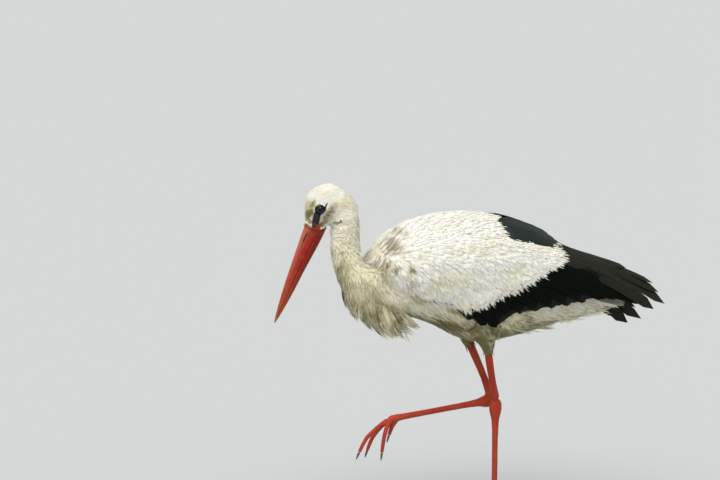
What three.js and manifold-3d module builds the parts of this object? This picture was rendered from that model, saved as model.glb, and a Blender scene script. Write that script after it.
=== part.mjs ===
// White stork (Ciconia ciconia), adult, life size: wading on its left leg with the right foot lifted,
// the neck drawn back and the bill held down. Millimetres, +Z up, the bird faces -Y and its left is +X.
// The origin is on the floor under the standing foot, where the tarsus meets the toes.
// Each sub-part is a closed faceted solid that keeps a thin gap to its neighbours.
import * as THREE from "three";
import { mergeVertices } from "three/addons/utils/BufferGeometryUtils.js";
import Module from "manifold-3d";

const wasm = await Module();
wasm.setup();

// ---- Driving dimensions, in mm ----
const GAP = 0.35; // clearance between neighbouring sub-parts
const BILL_LENGTH = 175; // gape to tip
const BILL_DEPTH = 37; // at the base
const BILL_WIDTH = 23;
const BILL_PITCH = 67; // degrees below the horizon
const HEAD_TURN = 13; // degrees to the bird's right
const EYE_RADIUS = 8;
const TARSUS_LENGTH = 198;
const TARSUS_RADIUS = 5.4;
const HOCK_RADIUS = 11.2;
const TOE_RADIUS = 4.6;
const PAD_HEIGHT = 3.7; // toe axis above the floor, less than its radius, so that each pad has a flat
const WING_THICKNESS = 21;
const RIGHT_WING_DROOP = 31; // how much lower the right wing's tip hangs
const TAIL_THICKNESS = 9;

// ---- Materials ----
const finish = (color, roughness) => new THREE.MeshStandardMaterial({ color, roughness, metalness: 0 });
const whitePlumage = finish(0xe9e2cf, 0.85);
const blackPlumage = finish(0x14171a, 0.5);
const redHorn = finish(0xb32a1c, 0.4);
const redSkin = finish(0xb23a26, 0.5);
const darkEye = finish(0x0c0a0c, 0.1);
const clawHorn = finish(0x3a2620, 0.45);

// ---- Making closed solids ----

// A manifold solid from a closed geometry, whichever way its faces were wound.
function solid(geometry) {
  const bare = geometry.index ? geometry.toNonIndexed() : geometry.clone();
  const positions = new THREE.BufferGeometry().setAttribute("position", bare.getAttribute("position"));
  const merged = mergeVertices(positions, 1e-4);
  const vertProperties = new Float32Array(merged.attributes.position.array);
  const build = (triVerts) => new wasm.Manifold(new wasm.Mesh({ numProp: 3, vertProperties, triVerts }));
  const triVerts = new Uint32Array(merged.index.array);
  const made = build(triVerts);
  if (made.volume() > 0) return made;
  const turned = triVerts.map((_, i, all) => all[i % 3 === 0 ? i : i + 3 - 2 * (i % 3)]);
  return build(turned);
}

// Rings of equal length joined into one closed skin, with a fan over each end.
function skinned(rings) {
  const sides = rings[0].length;
  const middle = (ring) => ring.reduce((sum, p) => sum.add(p), new THREE.Vector3()).divideScalar(sides);
  const points = [middle(rings[0]), ...rings.flat(), middle(rings.at(-1))];
  const index = [];
  const at = (ring, side) => 1 + ring * sides + (side % sides);
  for (let s = 0; s < sides; s++) {
    index.push(0, at(0, s + 1), at(0, s));
    index.push(points.length - 1, at(rings.length - 1, s), at(rings.length - 1, s + 1));
    for (let r = 0; r + 1 < rings.length; r++) {
      index.push(at(r, s), at(r, s + 1), at(r + 1, s + 1));
      index.push(at(r, s), at(r + 1, s + 1), at(r + 1, s));
    }
  }
  const geometry = new THREE.BufferGeometry().setFromPoints(points);
  return solid(geometry.setIndex(index));
}

// A soft oval tube along a smooth spine. Each station is [x, y, z, half width, half height above, half
// height below]. Width runs along `side`, and `grow` thickens the whole tube.
function sweep(stations, { steps = 12, sides = 14, side = [1, 0, 0], grow = 0, squareness = 2 } = {}) {
  const spine = new THREE.CatmullRomCurve3(stations.map((s) => new THREE.Vector3(s[0], s[1], s[2])));
  const sizes = new THREE.CatmullRomCurve3(
    stations.map((s) => new THREE.Vector3(s[3], s[4], s[5] === undefined ? s[4] : s[5])),
  );
  const round = (v) => Math.sign(v) * Math.abs(v) ** (2 / squareness);
  const rings = [];
  const previous = new THREE.Vector3(0, 0, 1);
  for (let i = 0; i <= steps; i++) {
    const centre = spine.getPoint(i / steps);
    const size = sizes.getPoint(i / steps);
    const tangent = spine.getTangent(i / steps);
    const across = new THREE.Vector3(...side);
    across.addScaledVector(tangent, -across.dot(tangent)).normalize();
    const above = new THREE.Vector3().crossVectors(across, tangent);
    if (above.dot(previous) < 0) above.negate();
    previous.copy(above);
    if (i === 0) centre.addScaledVector(tangent, -grow);
    if (i === steps) centre.addScaledVector(tangent, grow);
    const ring = [];
    for (let s = 0; s < sides; s++) {
      const angle = (2 * Math.PI * s) / sides;
      const height = Math.sin(angle) > 0 ? size.y : size.z;
      ring.push(
        centre
          .clone()
          .addScaledVector(across, (size.x + grow) * round(Math.cos(angle)))
          .addScaledVector(above, (height + grow) * round(Math.sin(angle))),
      );
    }
    rings.push(ring);
  }
  return skinned(rings);
}

// Everything on the side of a plane that `normal` points to.
function halfSpace(point, normal, shift = 0) {
  const reach = 1600;
  const box = new THREE.BoxGeometry(reach, reach, reach).translate(0, 0, reach / 2);
  const direction = new THREE.Vector3(...normal).normalize();
  const turn = new THREE.Quaternion().setFromUnitVectors(new THREE.Vector3(0, 0, 1), direction);
  const place = new THREE.Vector3(...point).addScaledVector(direction, shift);
  return solid(box.applyQuaternion(turn).translate(place.x, place.y, place.z));
}

// A solid divided by a thin cut: [what lies within all the planes, the rest]. A plane is [point, normal].
function divide(whole, ...planes) {
  const within = (shift) =>
    planes.map(([point, normal]) => halfSpace(point, normal, shift)).reduce((a, b) => a.intersect(b));
  return [whole.intersect(within(GAP / 2)), whole.subtract(within(-GAP / 2))];
}

// The largest of a solid's separate bodies, which drops the slivers that a cut can leave.
function mainBody(whole) {
  return whole.decompose().sort((a, b) => b.volume() - a.volume())[0];
}

const stork = new THREE.Group();

function add(name, body, material) {
  const data = mainBody(body).getMesh();
  const geometry = new THREE.BufferGeometry();
  const positions = new Float32Array(data.numVert * 3);
  for (let i = 0; i < data.numVert; i++) {
    positions.set(data.vertProperties.subarray(i * data.numProp, i * data.numProp + 3), i * 3);
  }
  geometry.setAttribute("position", new THREE.BufferAttribute(positions, 3));
  geometry.setIndex(new THREE.BufferAttribute(data.triVerts, 1));
  geometry.computeVertexNormals();
  const mesh = new THREE.Mesh(geometry, material);
  mesh.name = name;
  stork.add(mesh);
}

// ---- Trunk, with its contour feathers but without the wings ----
// Front of the breast to the tuft over the tail: [x, y, z, half width, above, below].
const TRUNK = [
  [0, -246, 424, 26, 22, 24],
  [0, -228, 425, 52, 38, 54],
  [0, -190, 430, 69, 76, 84],
  [0, -140, 434, 80, 96, 95],
  [0, -85, 432, 85, 103, 99],
  [0, -30, 424, 83, 108, 106],
  [0, 25, 414, 73, 96, 97],
  [0, 75, 405, 58, 76, 74],
  [0, 120, 396, 42, 56, 54],
  [0, 165, 386, 28, 36, 36],
  [0, 198, 377, 14, 16, 20],
];
const trunkWhole = (grow = 0) => sweep(TRUNK, { steps: 12, sides: 16, grow });

// ---- Neck: from the nape down an S bend into the breast ----
const NECK = [
  [-4, -270, 558, 16, 16],
  [-3, -262, 540, 22, 24.5],
  [-4, -261.5, 510, 24, 26],
  [-4, -261.5, 480, 26, 27],
  [-2, -251, 452, 31, 31.5],
  [0, -230, 426, 42, 42],
  [0, -200, 414, 52, 54],
];
const neckWhole = (grow = 0) => sweep(NECK, { steps: 10, sides: 14, grow });

// ---- Head frame: the gape's middle, with axes along the bill, to the left and over the crown ----
const headOrigin = new THREE.Vector3(-14, -311, 519.5);
const turn = THREE.MathUtils.degToRad(HEAD_TURN);
const pitch = THREE.MathUtils.degToRad(BILL_PITCH);
const facing = new THREE.Vector3(-Math.sin(turn), -Math.cos(turn), 0);
const headLeft = new THREE.Vector3(Math.cos(turn), -Math.sin(turn), 0);
const headForward = facing.clone().multiplyScalar(Math.cos(pitch)).add(new THREE.Vector3(0, 0, -Math.sin(pitch)));
const headUp = new THREE.Vector3().crossVectors(headForward, headLeft);
const onHead = (forward, up, left = 0) => {
  const p = headOrigin.clone().addScaledVector(headForward, forward);
  return p.addScaledVector(headUp, up).addScaledVector(headLeft, left).toArray();
};
const headSide = headLeft.toArray();

// Rings across the head, back to front: [forward, middle up, half width, above, below].
const HEAD = [
  [-78, -3.5, 14, 4, 32],
  [-71.5, -2.5, 19, 15.5, 44],
  [-60, -1.5, 23.6, 27.5, 56.5],
  [-44, 0, 24, 32.8, 57],
  [-29, 1.5, 21, 30, 38],
  [-14, 1.5, 17, 22.5, 25.5],
  [-4, 0, 13.5, 18.3, 20],
  [5, 0, 11.9, 16, 17.5],
];
const headWhole = sweep(
  HEAD.map(([forward, up, width, above, below]) => [...onHead(forward, up), width, above, below]),
  { steps: 10, sides: 14, side: headSide },
);

// ---- Bill: two straight, pointed mandibles that meet along the tomium ----
// [forward, middle up, half width, above, below]
const BILL = [
  [-8, -0.8, BILL_WIDTH / 2, BILL_DEPTH / 2 - 0.6, BILL_DEPTH / 2 - 0.4],
  [12, -0.8, BILL_WIDTH / 2 - 0.3, BILL_DEPTH / 2 - 1.7, BILL_DEPTH / 2 - 0.8],
  [40, -0.8, 9.9, 15.1, 15.2],
  [77, -0.6, 8.3, 12.1, 11.7],
  [114, -0.6, 6.3, 9.2, 9.3],
  [BILL_LENGTH - 22, -0.8, 3.4, 4.6, 4.3],
  [BILL_LENGTH - 2, -0.7, 0.9, 1.1, 1.1],
];
// The closed bill's mouth line: [forward, up]
const TOMIUM = [
  [-30, -22],
  [-6, -14],
  [8, -9],
  [30, -4.6],
  [70, -2.4],
  [130, -1.2],
  [BILL_LENGTH + 10, -0.7],
];
const billWhole = (grow = 0) =>
  sweep(
    BILL.map(([forward, up, width, above, below]) => [...onHead(forward, up), width, above, below]),
    { steps: 8, sides: 12, side: headSide, grow, squareness: 1.85 },
  );

// A slab that holds everything on one side of the tomium line, above it for sign 1 and below for -1.
function beyondTomium(sign) {
  const depth = 80;
  const half = 60;
  const outline = TOMIUM.map(([forward, up]) => [forward, up + (sign * GAP) / 2]);
  const far = [...outline].reverse().map(([forward, up]) => [forward, up + sign * depth]);
  const shape = new THREE.Shape([...outline, ...far].map(([forward, up]) => new THREE.Vector2(forward, up)));
  const slab = new THREE.ExtrudeGeometry(shape, { depth: 2 * half, bevelEnabled: false }).translate(0, 0, -half);
  const basis = new THREE.Matrix4().makeBasis(headForward, headUp, headLeft).setPosition(headOrigin);
  return solid(slab.applyMatrix4(basis));
}

// ---- Eyes ----
const EYE_PLACE = [-33, 5, 16.6]; // forward, up, to the side
const eyeball = (side, grow = 0) => {
  const [x, y, z] = onHead(EYE_PLACE[0], EYE_PLACE[1], side * EYE_PLACE[2]);
  return solid(new THREE.SphereGeometry(EYE_RADIUS + grow, 10, 6).translate(x, y, z));
};

// ---- Long feathers that hang from the lower neck ----
const HACKLES = [
  [0, -240, 440, 26, 16],
  [0, -232, 408, 34, 22],
  [0, -212, 382, 35, 21],
  [0, -186, 354, 28, 15],
  [0, -162, 333, 18, 7],
  [0, -146, 323, 9, 3],
];
const hacklesWhole = sweep(HACKLES, { steps: 7, sides: 12 });

// ---- Wings: a folded shell over each flank, from the ridge of the back down to its lower edge ----
// Each station is [y, [x, z] down the outside, from the back's midline to the lower edge].
const WING = [
  [-222, [[50, 471], [58, 467], [64, 458.5], [62, 449], [56, 443]]],
  [-205, [[39, 486], [63, 477], [77, 460], [75, 441.5], [64, 428]]],
  [-180, [[28, 507], [65, 494.5], [86.5, 466], [86, 435.5], [73, 414]]],
  [-145, [[18, 526], [64, 513], [95, 477], [96, 434], [82, 399]]],
  [-100, [[9, 536], [60, 525], [99, 484], [101, 430], [83, 386]]],
  [-55, [[5, 539], [56, 528], [98, 485], [101, 424], [81, 362]]],
  [-20, [[4, 535], [54, 524], [95, 482], [98, 420], [78, 351]]],
  [8, [[3, 529], [52, 518], [91, 478], [95, 420], [77, 370]]],
  [45, [[3, 517], [48, 507], [83, 470], [87, 417], [72, 373]]],
  [85, [[3, 498], [43, 488], [73, 457], [77, 412], [65, 377]]],
  [125, [[3, 475], [37, 467], [62, 441], [66, 407], [56, 380]]],
  [165, [[3, 456], [29, 450], [48, 428], [51, 404], [44, 384]]],
  [198, [[5, 441], [24, 436], [36, 419], [38, 404], [33, 391]]],
  [214, [[10, 431], [21, 427], [28, 416], [30, 406], [27, 398]]],
];
const WING_POINTS = 8; // along each section's outside
const smoothStep = (t) => {
  const c = Math.min(1, Math.max(0, t));
  return c * c * (3 - 2 * c);
};
// How far a point of the right wing hangs below its mirror image on the left.
const rightDroop = (y) => RIGHT_WING_DROOP * smoothStep((y - 40) / 240);

function wingShell(side, grow = 0) {
  const rings = WING.map(([y, outside], station) => {
    const curve = new THREE.SplineCurve(outside.map(([x, z]) => new THREE.Vector2(x, z)));
    const front = 0.5 + 0.5 * smoothStep((y - WING[0][0]) / 45);
    const thickness = WING_THICKNESS * front * (1 - 0.55 * smoothStep((y + 40) / 230));
    const outer = [];
    const inner = [];
    for (let i = 0; i < WING_POINTS; i++) {
      const t = i / (WING_POINTS - 1);
      const p = curve.getPoint(t);
      const tangent = curve.getTangent(t);
      const inward = new THREE.Vector2(tangent.y, -tangent.x);
      if (inward.x > 0 && t > 0.3) inward.negate();
      const edge = new THREE.Vector2().copy(tangent).multiplyScalar(grow * (t === 0 ? -1 : t === 1 ? 1 : 0));
      const depth = thickness * (0.3 + 0.7 * Math.sin(Math.PI * Math.min(0.95, Math.max(0.05, t))));
      outer.push(p.clone().addScaledVector(inward, -grow).add(edge));
      inner.push(p.clone().addScaledVector(inward, depth + grow).add(edge));
    }
    const end = station === 0 ? -grow : station === WING.length - 1 ? grow : 0;
    const drop = side < 0 ? rightDroop(y) : 0;
    return [...outer, ...inner.reverse()].map((p) => new THREE.Vector3(side * p.x, y + end, p.y - drop));
  });
  return skinned(rings);
}

// The flight feathers that reach past the shell, as three stepped blades: [x, y, z, half width, half height].
const PRIMARIES = [
  [[17, 176, 440, 3, 11], [19, 216, 426, 3.4, 12], [19, 255, 410, 2.6, 8], [18, 277, 400, 1, 3]],
  [[21, 176, 424, 3, 13], [22, 222, 408, 3.4, 14], [21, 271, 384, 2.8, 11], [20, 297, 370, 1, 3.5]],
  [[26, 176, 408, 3, 12], [26, 216, 393, 3.4, 13], [25, 250, 374, 2.6, 9], [24, 272, 361, 1, 3]],
];

function primaries(side, grow = 0) {
  const blades = PRIMARIES.map((blade) =>
    sweep(
      blade.map(([x, y, z, width, height]) => [side * x, y, z - (side < 0 ? rightDroop(y) : 0), width, height]),
      { steps: 4, sides: 5, grow },
    ),
  );
  return blades[0].add(blades[1]).add(blades[2]);
}

// The white coverts end along a slanting line over the black flight feathers, and in front of the tertials.
const COVERT_LINE = [0, -80, 388];
const COVERT_NORMAL = [0, -0.376, 0.927];
const TERTIAL_LINE = [0, 92, 465];
// The long black scapulars lie on top, over the rear of the back.
const SCAPULAR_FRONT = [0, 4, 520];
const SCAPULAR_LINE = [0, 12, 504];
const SCAPULAR_NORMAL = [0, 0.25, 0.968];

function wingPieces(side) {
  const shell = wingShell(side);
  const region = (planes) => planes.map(([p, n, s]) => halfSpace(p, n, s)).reduce((a, b) => a.intersect(b));
  const scapularRegion = (shift) =>
    region([
      [SCAPULAR_FRONT, [0, 1, 0], shift],
      [SCAPULAR_LINE, SCAPULAR_NORMAL, shift],
    ]);
  const covertRegion = (shift) =>
    region([
      [COVERT_LINE, COVERT_NORMAL, shift],
      [TERTIAL_LINE, [0, -1, 0], shift],
    ]);
  const scapulars = shell.intersect(scapularRegion(0));
  const below = shell.subtract(scapularRegion(-GAP));
  return {
    scapulars,
    coverts: below.intersect(covertRegion(0)),
    remiges: below.subtract(covertRegion(-GAP)),
  };
}

// ---- Tail: a narrow closed fan that slants down between the wing tips ----
const TAIL = [
  [0, 60, 424, 20, TAIL_THICKNESS / 2],
  [0, 120, 408, 26, TAIL_THICKNESS / 2],
  [0, 180, 388, 30, TAIL_THICKNESS / 2 - 1],
  [0, 218, 374, 30, TAIL_THICKNESS / 2 - 2],
  [0, 234, 368, 23, 1.4],
];
const tailWhole = (grow = 0) => sweep(TAIL, { steps: 5, sides: 12, grow, squareness: 3 });

// ---- Legs: [x, y, z, half width, half depth] from the thigh's feathers down ----
const LEFT_LEG = {
  thigh: [[44, -38, 392, 30, 42], [41, -34, 352, 27, 33], [34, -26, 324, 15.5, 17.5], [29, -21, 301, 7.6, 8.4]],
  shank: [[32, -24, 316, 6.8, 7.4], [26, -18, 285, 6.2, 6.8], [17, -9, 248, 5.7, 6.1], [9, -2, 222, 7.2, 8.2]],
};
const RIGHT_LEG = {
  thigh: [[-44, -46, 392, 30, 42], [-42, -44, 352, 27, 32], [-38, -38, 326, 15, 17], [-35, -33, 305, 7.6, 8.6]],
  shank: [[-36, -36, 318, 6.9, 7.6], [-33, -22, 285, 6.3, 6.9], [-29, -8, 250, 5.7, 6.2], [-25, 1, 222, 7.2, 8.2]],
};
const LEFT_HOCK = [5, 0, 210];
const RIGHT_HOCK = [-24, 3, 212];
const LEFT_FOOT = [0, 0, 12];
const RIGHT_FOOT_DIRECTION = new THREE.Vector3(0.222, -0.972, -0.072).normalize();
const RIGHT_FOOT = new THREE.Vector3(...RIGHT_HOCK).addScaledVector(RIGHT_FOOT_DIRECTION, TARSUS_LENGTH).toArray();

// A knobbed hock, then a slim straight tarsus that widens to the toes. Each row of the profile is
// [share of the way from the hock to the foot, half width, half depth].
const TARSUS = [
  [-0.045, HOCK_RADIUS * 0.5, HOCK_RADIUS * 0.55],
  [-0.012, HOCK_RADIUS * 0.82, HOCK_RADIUS * 0.98],
  [0.05, HOCK_RADIUS * 0.86, HOCK_RADIUS],
  [0.12, TARSUS_RADIUS * 1.25, TARSUS_RADIUS * 1.35],
  [0.25, TARSUS_RADIUS * 0.95, TARSUS_RADIUS * 1.02],
  [0.55, TARSUS_RADIUS * 0.9, TARSUS_RADIUS * 0.98],
  [0.85, TARSUS_RADIUS * 0.98, TARSUS_RADIUS * 1.02],
  [0.96, TARSUS_RADIUS * 1.35, TARSUS_RADIUS * 1.2],
  [1.01, TARSUS_RADIUS * 1.1, TARSUS_RADIUS * 0.95],
];

function tarsus(hock, foot, grow = 0) {
  const stations = TARSUS.map(([share, width, depth]) => {
    const place = new THREE.Vector3(...hock).lerp(new THREE.Vector3(...foot), share);
    return [...place.toArray(), width, depth];
  });
  return sweep(stations, { steps: 13, sides: 9, grow });
}

// Toes, each a chain of joints from the foot outwards; the last joint carries the claw. The standing
// foot's middle toe starts under the tarsus, so that its pad's flat holds the origin.
const LEFT_TOES = {
  middle: [[0, 5, PAD_HEIGHT + 0.2], [0, -22, PAD_HEIGHT + 0.3], [1, -52, PAD_HEIGHT], [2, -80, PAD_HEIGHT - 0.4]],
  hind: [[1, 7, 6.5], [0, 16, PAD_HEIGHT + 0.8], [-3, 31, PAD_HEIGHT - 0.4]],
  inner: [[-4, -3, 7], [-14, -17, PAD_HEIGHT + 0.4], [-28, -38, PAD_HEIGHT], [-40, -60, PAD_HEIGHT - 0.4]],
  outer: [[4, -3, 7], [15, -17, PAD_HEIGHT + 0.4], [30, -40, PAD_HEIGHT], [44, -64, PAD_HEIGHT - 0.4]],
};
const RIGHT_TOES = {
  middle: [[0, -6, -2], [-2, -21, -13], [-6, -40, -31], [-9, -52, -55]],
  hind: [[-1, 10, -3], [-2, 3, -14], [-3, -2, -28]],
  inner: [[5, -2, -2], [13, -12, -14], [20, -19, -32], [23, -23, -52]],
  outer: [[-5, -2, -3], [-15, -12, -15], [-25, -24, -35], [-31, -31, -57]],
};
const CLAW_LENGTH = 11;

function toeChain(joints, grow = 0) {
  const last = joints.length - 1;
  const stations = joints.map((p, i) => {
    const radius = TOE_RADIUS * (1.02 - (0.25 * i) / last);
    return [...p, radius, radius * 0.94];
  });
  const heading = new THREE.Vector3(...joints[last]).sub(new THREE.Vector3(...joints[0]));
  const side = Math.abs(heading.x) > Math.abs(heading.y) ? [0, 1, 0] : [1, 0, 0];
  return sweep(stations, { steps: 6, sides: 8, side, grow });
}

function claw(joints) {
  const tip = new THREE.Vector3(...joints.at(-1));
  const direction = tip.clone().sub(new THREE.Vector3(...joints.at(-2))).normalize();
  const out = (distance, drop, radius) => {
    const p = tip.clone().addScaledVector(direction, distance);
    return [p.x, p.y, p.z - drop, radius, radius * 0.8];
  };
  return sweep([out(-4, 0, 2), out(1, 0.2, 2.7), out(0.6 * CLAW_LENGTH, 1.2, 2.1), out(CLAW_LENGTH, 2.4, 0.8)], {
    steps: 3,
    sides: 5,
  });
}

// ---- Assembly ----
const wings = { left: wingPieces(1), right: wingPieces(-1) };
const wingsGrown = wingShell(1, GAP).add(wingShell(-1, GAP));
const eyesGrown = eyeball(1, GAP).add(eyeball(-1, GAP));

const flightGrown = primaries(1, GAP).add(primaries(-1, GAP));
const coreCut = wingsGrown.add(tailWhole(GAP)).add(flightGrown);
const core = trunkWhole().add(neckWhole()).add(headWhole).subtract(coreCut);
const coreGrown = trunkWhole(GAP).add(neckWhole(GAP)).add(wingsGrown);

const [headPart, afterHead] = divide(core, [[-12, -256, 534], [0, -0.365, 0.931]]);
const [neckUpper, afterNeckUpper] = divide(afterHead, [[0, -250, 476], [0, 0, 1]], [[0, -228, 476], [0, -1, 0]]);
const [neckLower, afterNeck] = divide(afterNeckUpper, [[0, -224, 440], [0, -0.985, -0.17]]);
const [breast, afterBreast] = divide(afterNeck, [[0, -160, 430], [0, -1, 0]]);
const [rump, trunk] = divide(afterBreast, [[0, 70, 400], [0, 1, 0]]);

add("head", headPart.subtract(billWhole(GAP)).subtract(eyesGrown), whitePlumage);
add("neck_upper", neckUpper, whitePlumage);
add("neck_lower", neckLower, whitePlumage);
add("breast", breast, whitePlumage);
add("trunk", trunk, whitePlumage);
add("rump", rump, whitePlumage);
add("breast_hackles", hacklesWhole.subtract(coreGrown), whitePlumage);
add("bill_upper", billWhole().intersect(beyondTomium(1)), redHorn);
add("bill_lower", billWhole().intersect(beyondTomium(-1)), redHorn);
add("eye_left", eyeball(1), darkEye);
add("eye_right", eyeball(-1), darkEye);

add("tail", tailWhole().subtract(wingsGrown), whitePlumage);
for (const [sideName, side] of [["left", 1], ["right", -1]]) {
  const { coverts, scapulars, remiges } = wings[sideName];
  add(`wing_${sideName}_coverts`, coverts, whitePlumage);
  add(`wing_${sideName}_scapulars`, scapulars, blackPlumage);
  add(`wing_${sideName}_remiges`, remiges, blackPlumage);
  const clear = wingShell(side, GAP).add(tailWhole(GAP));
  add(`wing_${sideName}_primaries`, primaries(side).subtract(clear), blackPlumage);
}

function leg(sideName, { thigh, shank }, hock, foot, toes, footPlace) {
  const shankTube = (grow) => {
    const kneeToHock = halfSpace([0, 0, hock[2] + HOCK_RADIUS / 2 - grow], [0, 0, 1]);
    return sweep(shank, { steps: 6, sides: 10, grow }).intersect(kneeToHock);
  };
  const thighTube = sweep(thigh, { steps: 6, sides: 12 });
  add(`thigh_${sideName}`, thighTube.subtract(coreGrown).subtract(shankTube(GAP)), whitePlumage);
  add(`shank_${sideName}`, shankTube(0).subtract(coreGrown), redSkin);
  add(`tarsus_${sideName}`, tarsus(hock, foot).subtract(shankTube(GAP)), redSkin);
  const aboveFloor = halfSpace([0, 0, 0], [0, 0, 1]);
  let taken = tarsus(hock, foot, GAP);
  for (const [toeName, joints] of Object.entries(toes)) {
    const chain = joints.map((p) => p.map((v, i) => v + footPlace[i]));
    const toeGrown = toeChain(chain, GAP);
    add(`toe_${sideName}_${toeName}`, toeChain(chain).intersect(aboveFloor).subtract(taken), redSkin);
    add(`claw_${sideName}_${toeName}`, claw(chain).intersect(aboveFloor).subtract(toeGrown), clawHorn);
    taken = taken.add(toeGrown);
  }
}

leg("left", LEFT_LEG, LEFT_HOCK, LEFT_FOOT, LEFT_TOES, [0, 0, 0]);
leg("right", RIGHT_LEG, RIGHT_HOCK, RIGHT_FOOT, RIGHT_TOES, RIGHT_FOOT);

export default stork;
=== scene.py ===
"""White stork, a life-size museum model: skin, feathers, bill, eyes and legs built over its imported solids."""
import math

import bmesh
import bpy
import numpy as np
from mathutils import Matrix, Vector
from mathutils.bvhtree import BVHTree


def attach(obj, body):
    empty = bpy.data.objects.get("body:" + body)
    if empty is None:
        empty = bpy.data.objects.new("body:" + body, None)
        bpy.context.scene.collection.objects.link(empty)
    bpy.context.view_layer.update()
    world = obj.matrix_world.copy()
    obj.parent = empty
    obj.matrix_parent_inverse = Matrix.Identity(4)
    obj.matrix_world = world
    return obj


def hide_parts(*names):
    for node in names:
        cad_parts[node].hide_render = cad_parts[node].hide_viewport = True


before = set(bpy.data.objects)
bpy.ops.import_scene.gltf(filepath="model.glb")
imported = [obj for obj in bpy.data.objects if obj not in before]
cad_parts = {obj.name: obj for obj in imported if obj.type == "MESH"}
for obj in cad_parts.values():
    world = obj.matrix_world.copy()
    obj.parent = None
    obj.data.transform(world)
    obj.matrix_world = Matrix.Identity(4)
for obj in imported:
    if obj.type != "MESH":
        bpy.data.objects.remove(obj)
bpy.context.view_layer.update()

# ---- Camera: a long lens from the bird's left and a little above, nine metres away ----
# It looks across the bird from a little ahead of it, and close enough in that the foot of the standing leg
# falls just outside the view.
VIEW_AZIMUTH = math.radians(72)
VIEW_ELEVATION = math.radians(8)
VIEW_DISTANCE = 9.0
VIEW_OFFSET = (-0.225, 0.482)  # of the view's middle from the model's origin, to the right and up
FOCAL_LENGTH, VIEW_WIDTH = 5357, 720  # both in pixels
view_right = Vector((math.cos(VIEW_AZIMUTH), math.sin(VIEW_AZIMUTH), 0))
view_back = Vector((
    math.sin(VIEW_AZIMUTH) * math.cos(VIEW_ELEVATION),
    -math.cos(VIEW_AZIMUTH) * math.cos(VIEW_ELEVATION),
    math.sin(VIEW_ELEVATION),
))
view_up = view_back.cross(view_right)
view_centre = view_right * VIEW_OFFSET[0] + view_up * VIEW_OFFSET[1]
lens = bpy.data.cameras.new("camera_lens")
lens.sensor_width = 36
lens.lens = FOCAL_LENGTH / VIEW_WIDTH * lens.sensor_width
lens.clip_end = 60
camera = bpy.data.objects.new("camera", lens)
bpy.context.scene.collection.objects.link(camera)
camera.matrix_world = Matrix.Translation(view_centre + view_back * VIEW_DISTANCE) @ Matrix(
    (view_right, view_up, view_back)
).transposed().to_4x4()
bpy.context.scene.camera = camera
bpy.context.scene.view_settings.view_transform = "Standard"

# ---- Studio: a plain pale floor and soft light from above ----
# The floor is one wide matt sheet. The light is broad and high, from the bird's left and front, and the
# pale walls of the room, here its air, fill the shadows.
FLOOR_REACH = 14.0
floor_mesh = bpy.data.meshes.new("floor")
floor_corners = [(x * FLOOR_REACH, y * FLOOR_REACH, 0) for x, y in ((-1, -1), (1, -1), (1, 1), (-1, 1))]
floor_mesh.from_pydata(floor_corners, [], [(0, 1, 2, 3)])
floor = bpy.data.objects.new("floor", floor_mesh)
bpy.context.scene.collection.objects.link(floor)
floor_paint = bpy.data.materials.new("floor_paint")
floor_paint.use_nodes = True
matt = floor_paint.node_tree.nodes["Principled BSDF"].inputs
matt["Base Color"].default_value = (0.52, 0.53, 0.52, 1)
matt["Roughness"].default_value = 0.9
floor_mesh.materials.append(floor_paint)
sky = bpy.data.lights.new("high_soft_light", "SUN")
sky.energy = 3.0
sky.angle = math.radians(50)
sky.color = (1.0, 0.985, 0.955)
sky_light = bpy.data.objects.new("high_soft_light", sky)
bpy.context.scene.collection.objects.link(sky_light)
sky_light.rotation_euler = Vector((-0.62, 0.30, -1.0)).to_track_quat("-Z", "Y").to_euler()
world = bpy.data.worlds.new("studio_air")
bpy.context.scene.world = world
world.use_nodes = True
air = world.node_tree.nodes["Background"].inputs
air["Color"].default_value = (0.80, 0.84, 0.88, 1)
air["Strength"].default_value = 0.62

# ---- Skin: one hide over head, neck, trunk, wings and legs, cast in one piece ----
# Under the plumage it lies as deep as the feathers are thick, stained and darkened with the same painted shade
# as they are, so that no gap shows.
# On the legs and feet, at the lores and round the eye it is bare, and there it is the surface itself.
MM = 0.001
HEAD_ORIGIN = Vector((-14, -311, 519.5)) * MM  # the middle of the gape
head_turn = math.radians(13)
bill_pitch = math.radians(67)
head_left = Vector((math.cos(head_turn), -math.sin(head_turn), 0))
head_forward = Vector((
    -math.sin(head_turn) * math.cos(bill_pitch),
    -math.cos(head_turn) * math.cos(bill_pitch),
    -math.sin(bill_pitch),
))
head_up = head_forward.cross(head_left)
HEAD_AXES = np.array([head_forward, head_up, head_left])
SINK = {  # how deep the hide lies under the solids' outer surface, in mm
    "head": 1.7, "neck_upper": 3.0, "neck_lower": 4.2, "breast": 5.0, "trunk": 5.0, "rump": 5.0,
    "coverts": 4.0, "scapulars": 2.4, "remiges": 2.2, "thigh": 3.4, "shank": 0.0, "tarsus": 0.0, "toe": 0.0,
}
TORSO_NODES = ("trunk", "breast", "rump", "neck_lower", "neck_upper")
WING_NODES = [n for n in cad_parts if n.startswith("wing") and "primaries" not in n]
LEG_NODES = [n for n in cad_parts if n.startswith(("thigh", "shank", "tarsus", "toe"))]


def in_head(points):
    """Places in mm along the bill, over the crown and to the left of the gape's middle."""
    return (np.asarray(points) - np.array(HEAD_ORIGIN)) @ HEAD_AXES.T / MM


def on_head(forward, up, left=0.0):
    """The place in the scene of a point measured in mm from the gape's middle."""
    return HEAD_ORIGIN + (head_forward * forward + head_up * up + head_left * left) * MM


def from_mesh(items, name, width, kind=np.float64):
    """One property of all a mesh's vertices, edges or faces, as an array."""
    found = np.empty(len(items) * width, dtype=kind)
    items.foreach_get(name, found)
    return found.reshape(-1, width)


def faces_of(mesh):
    """The corners of each triangle."""
    mesh.calc_loop_triangles()
    return from_mesh(mesh.loop_triangles, "vertices", 3, np.int64)


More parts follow.
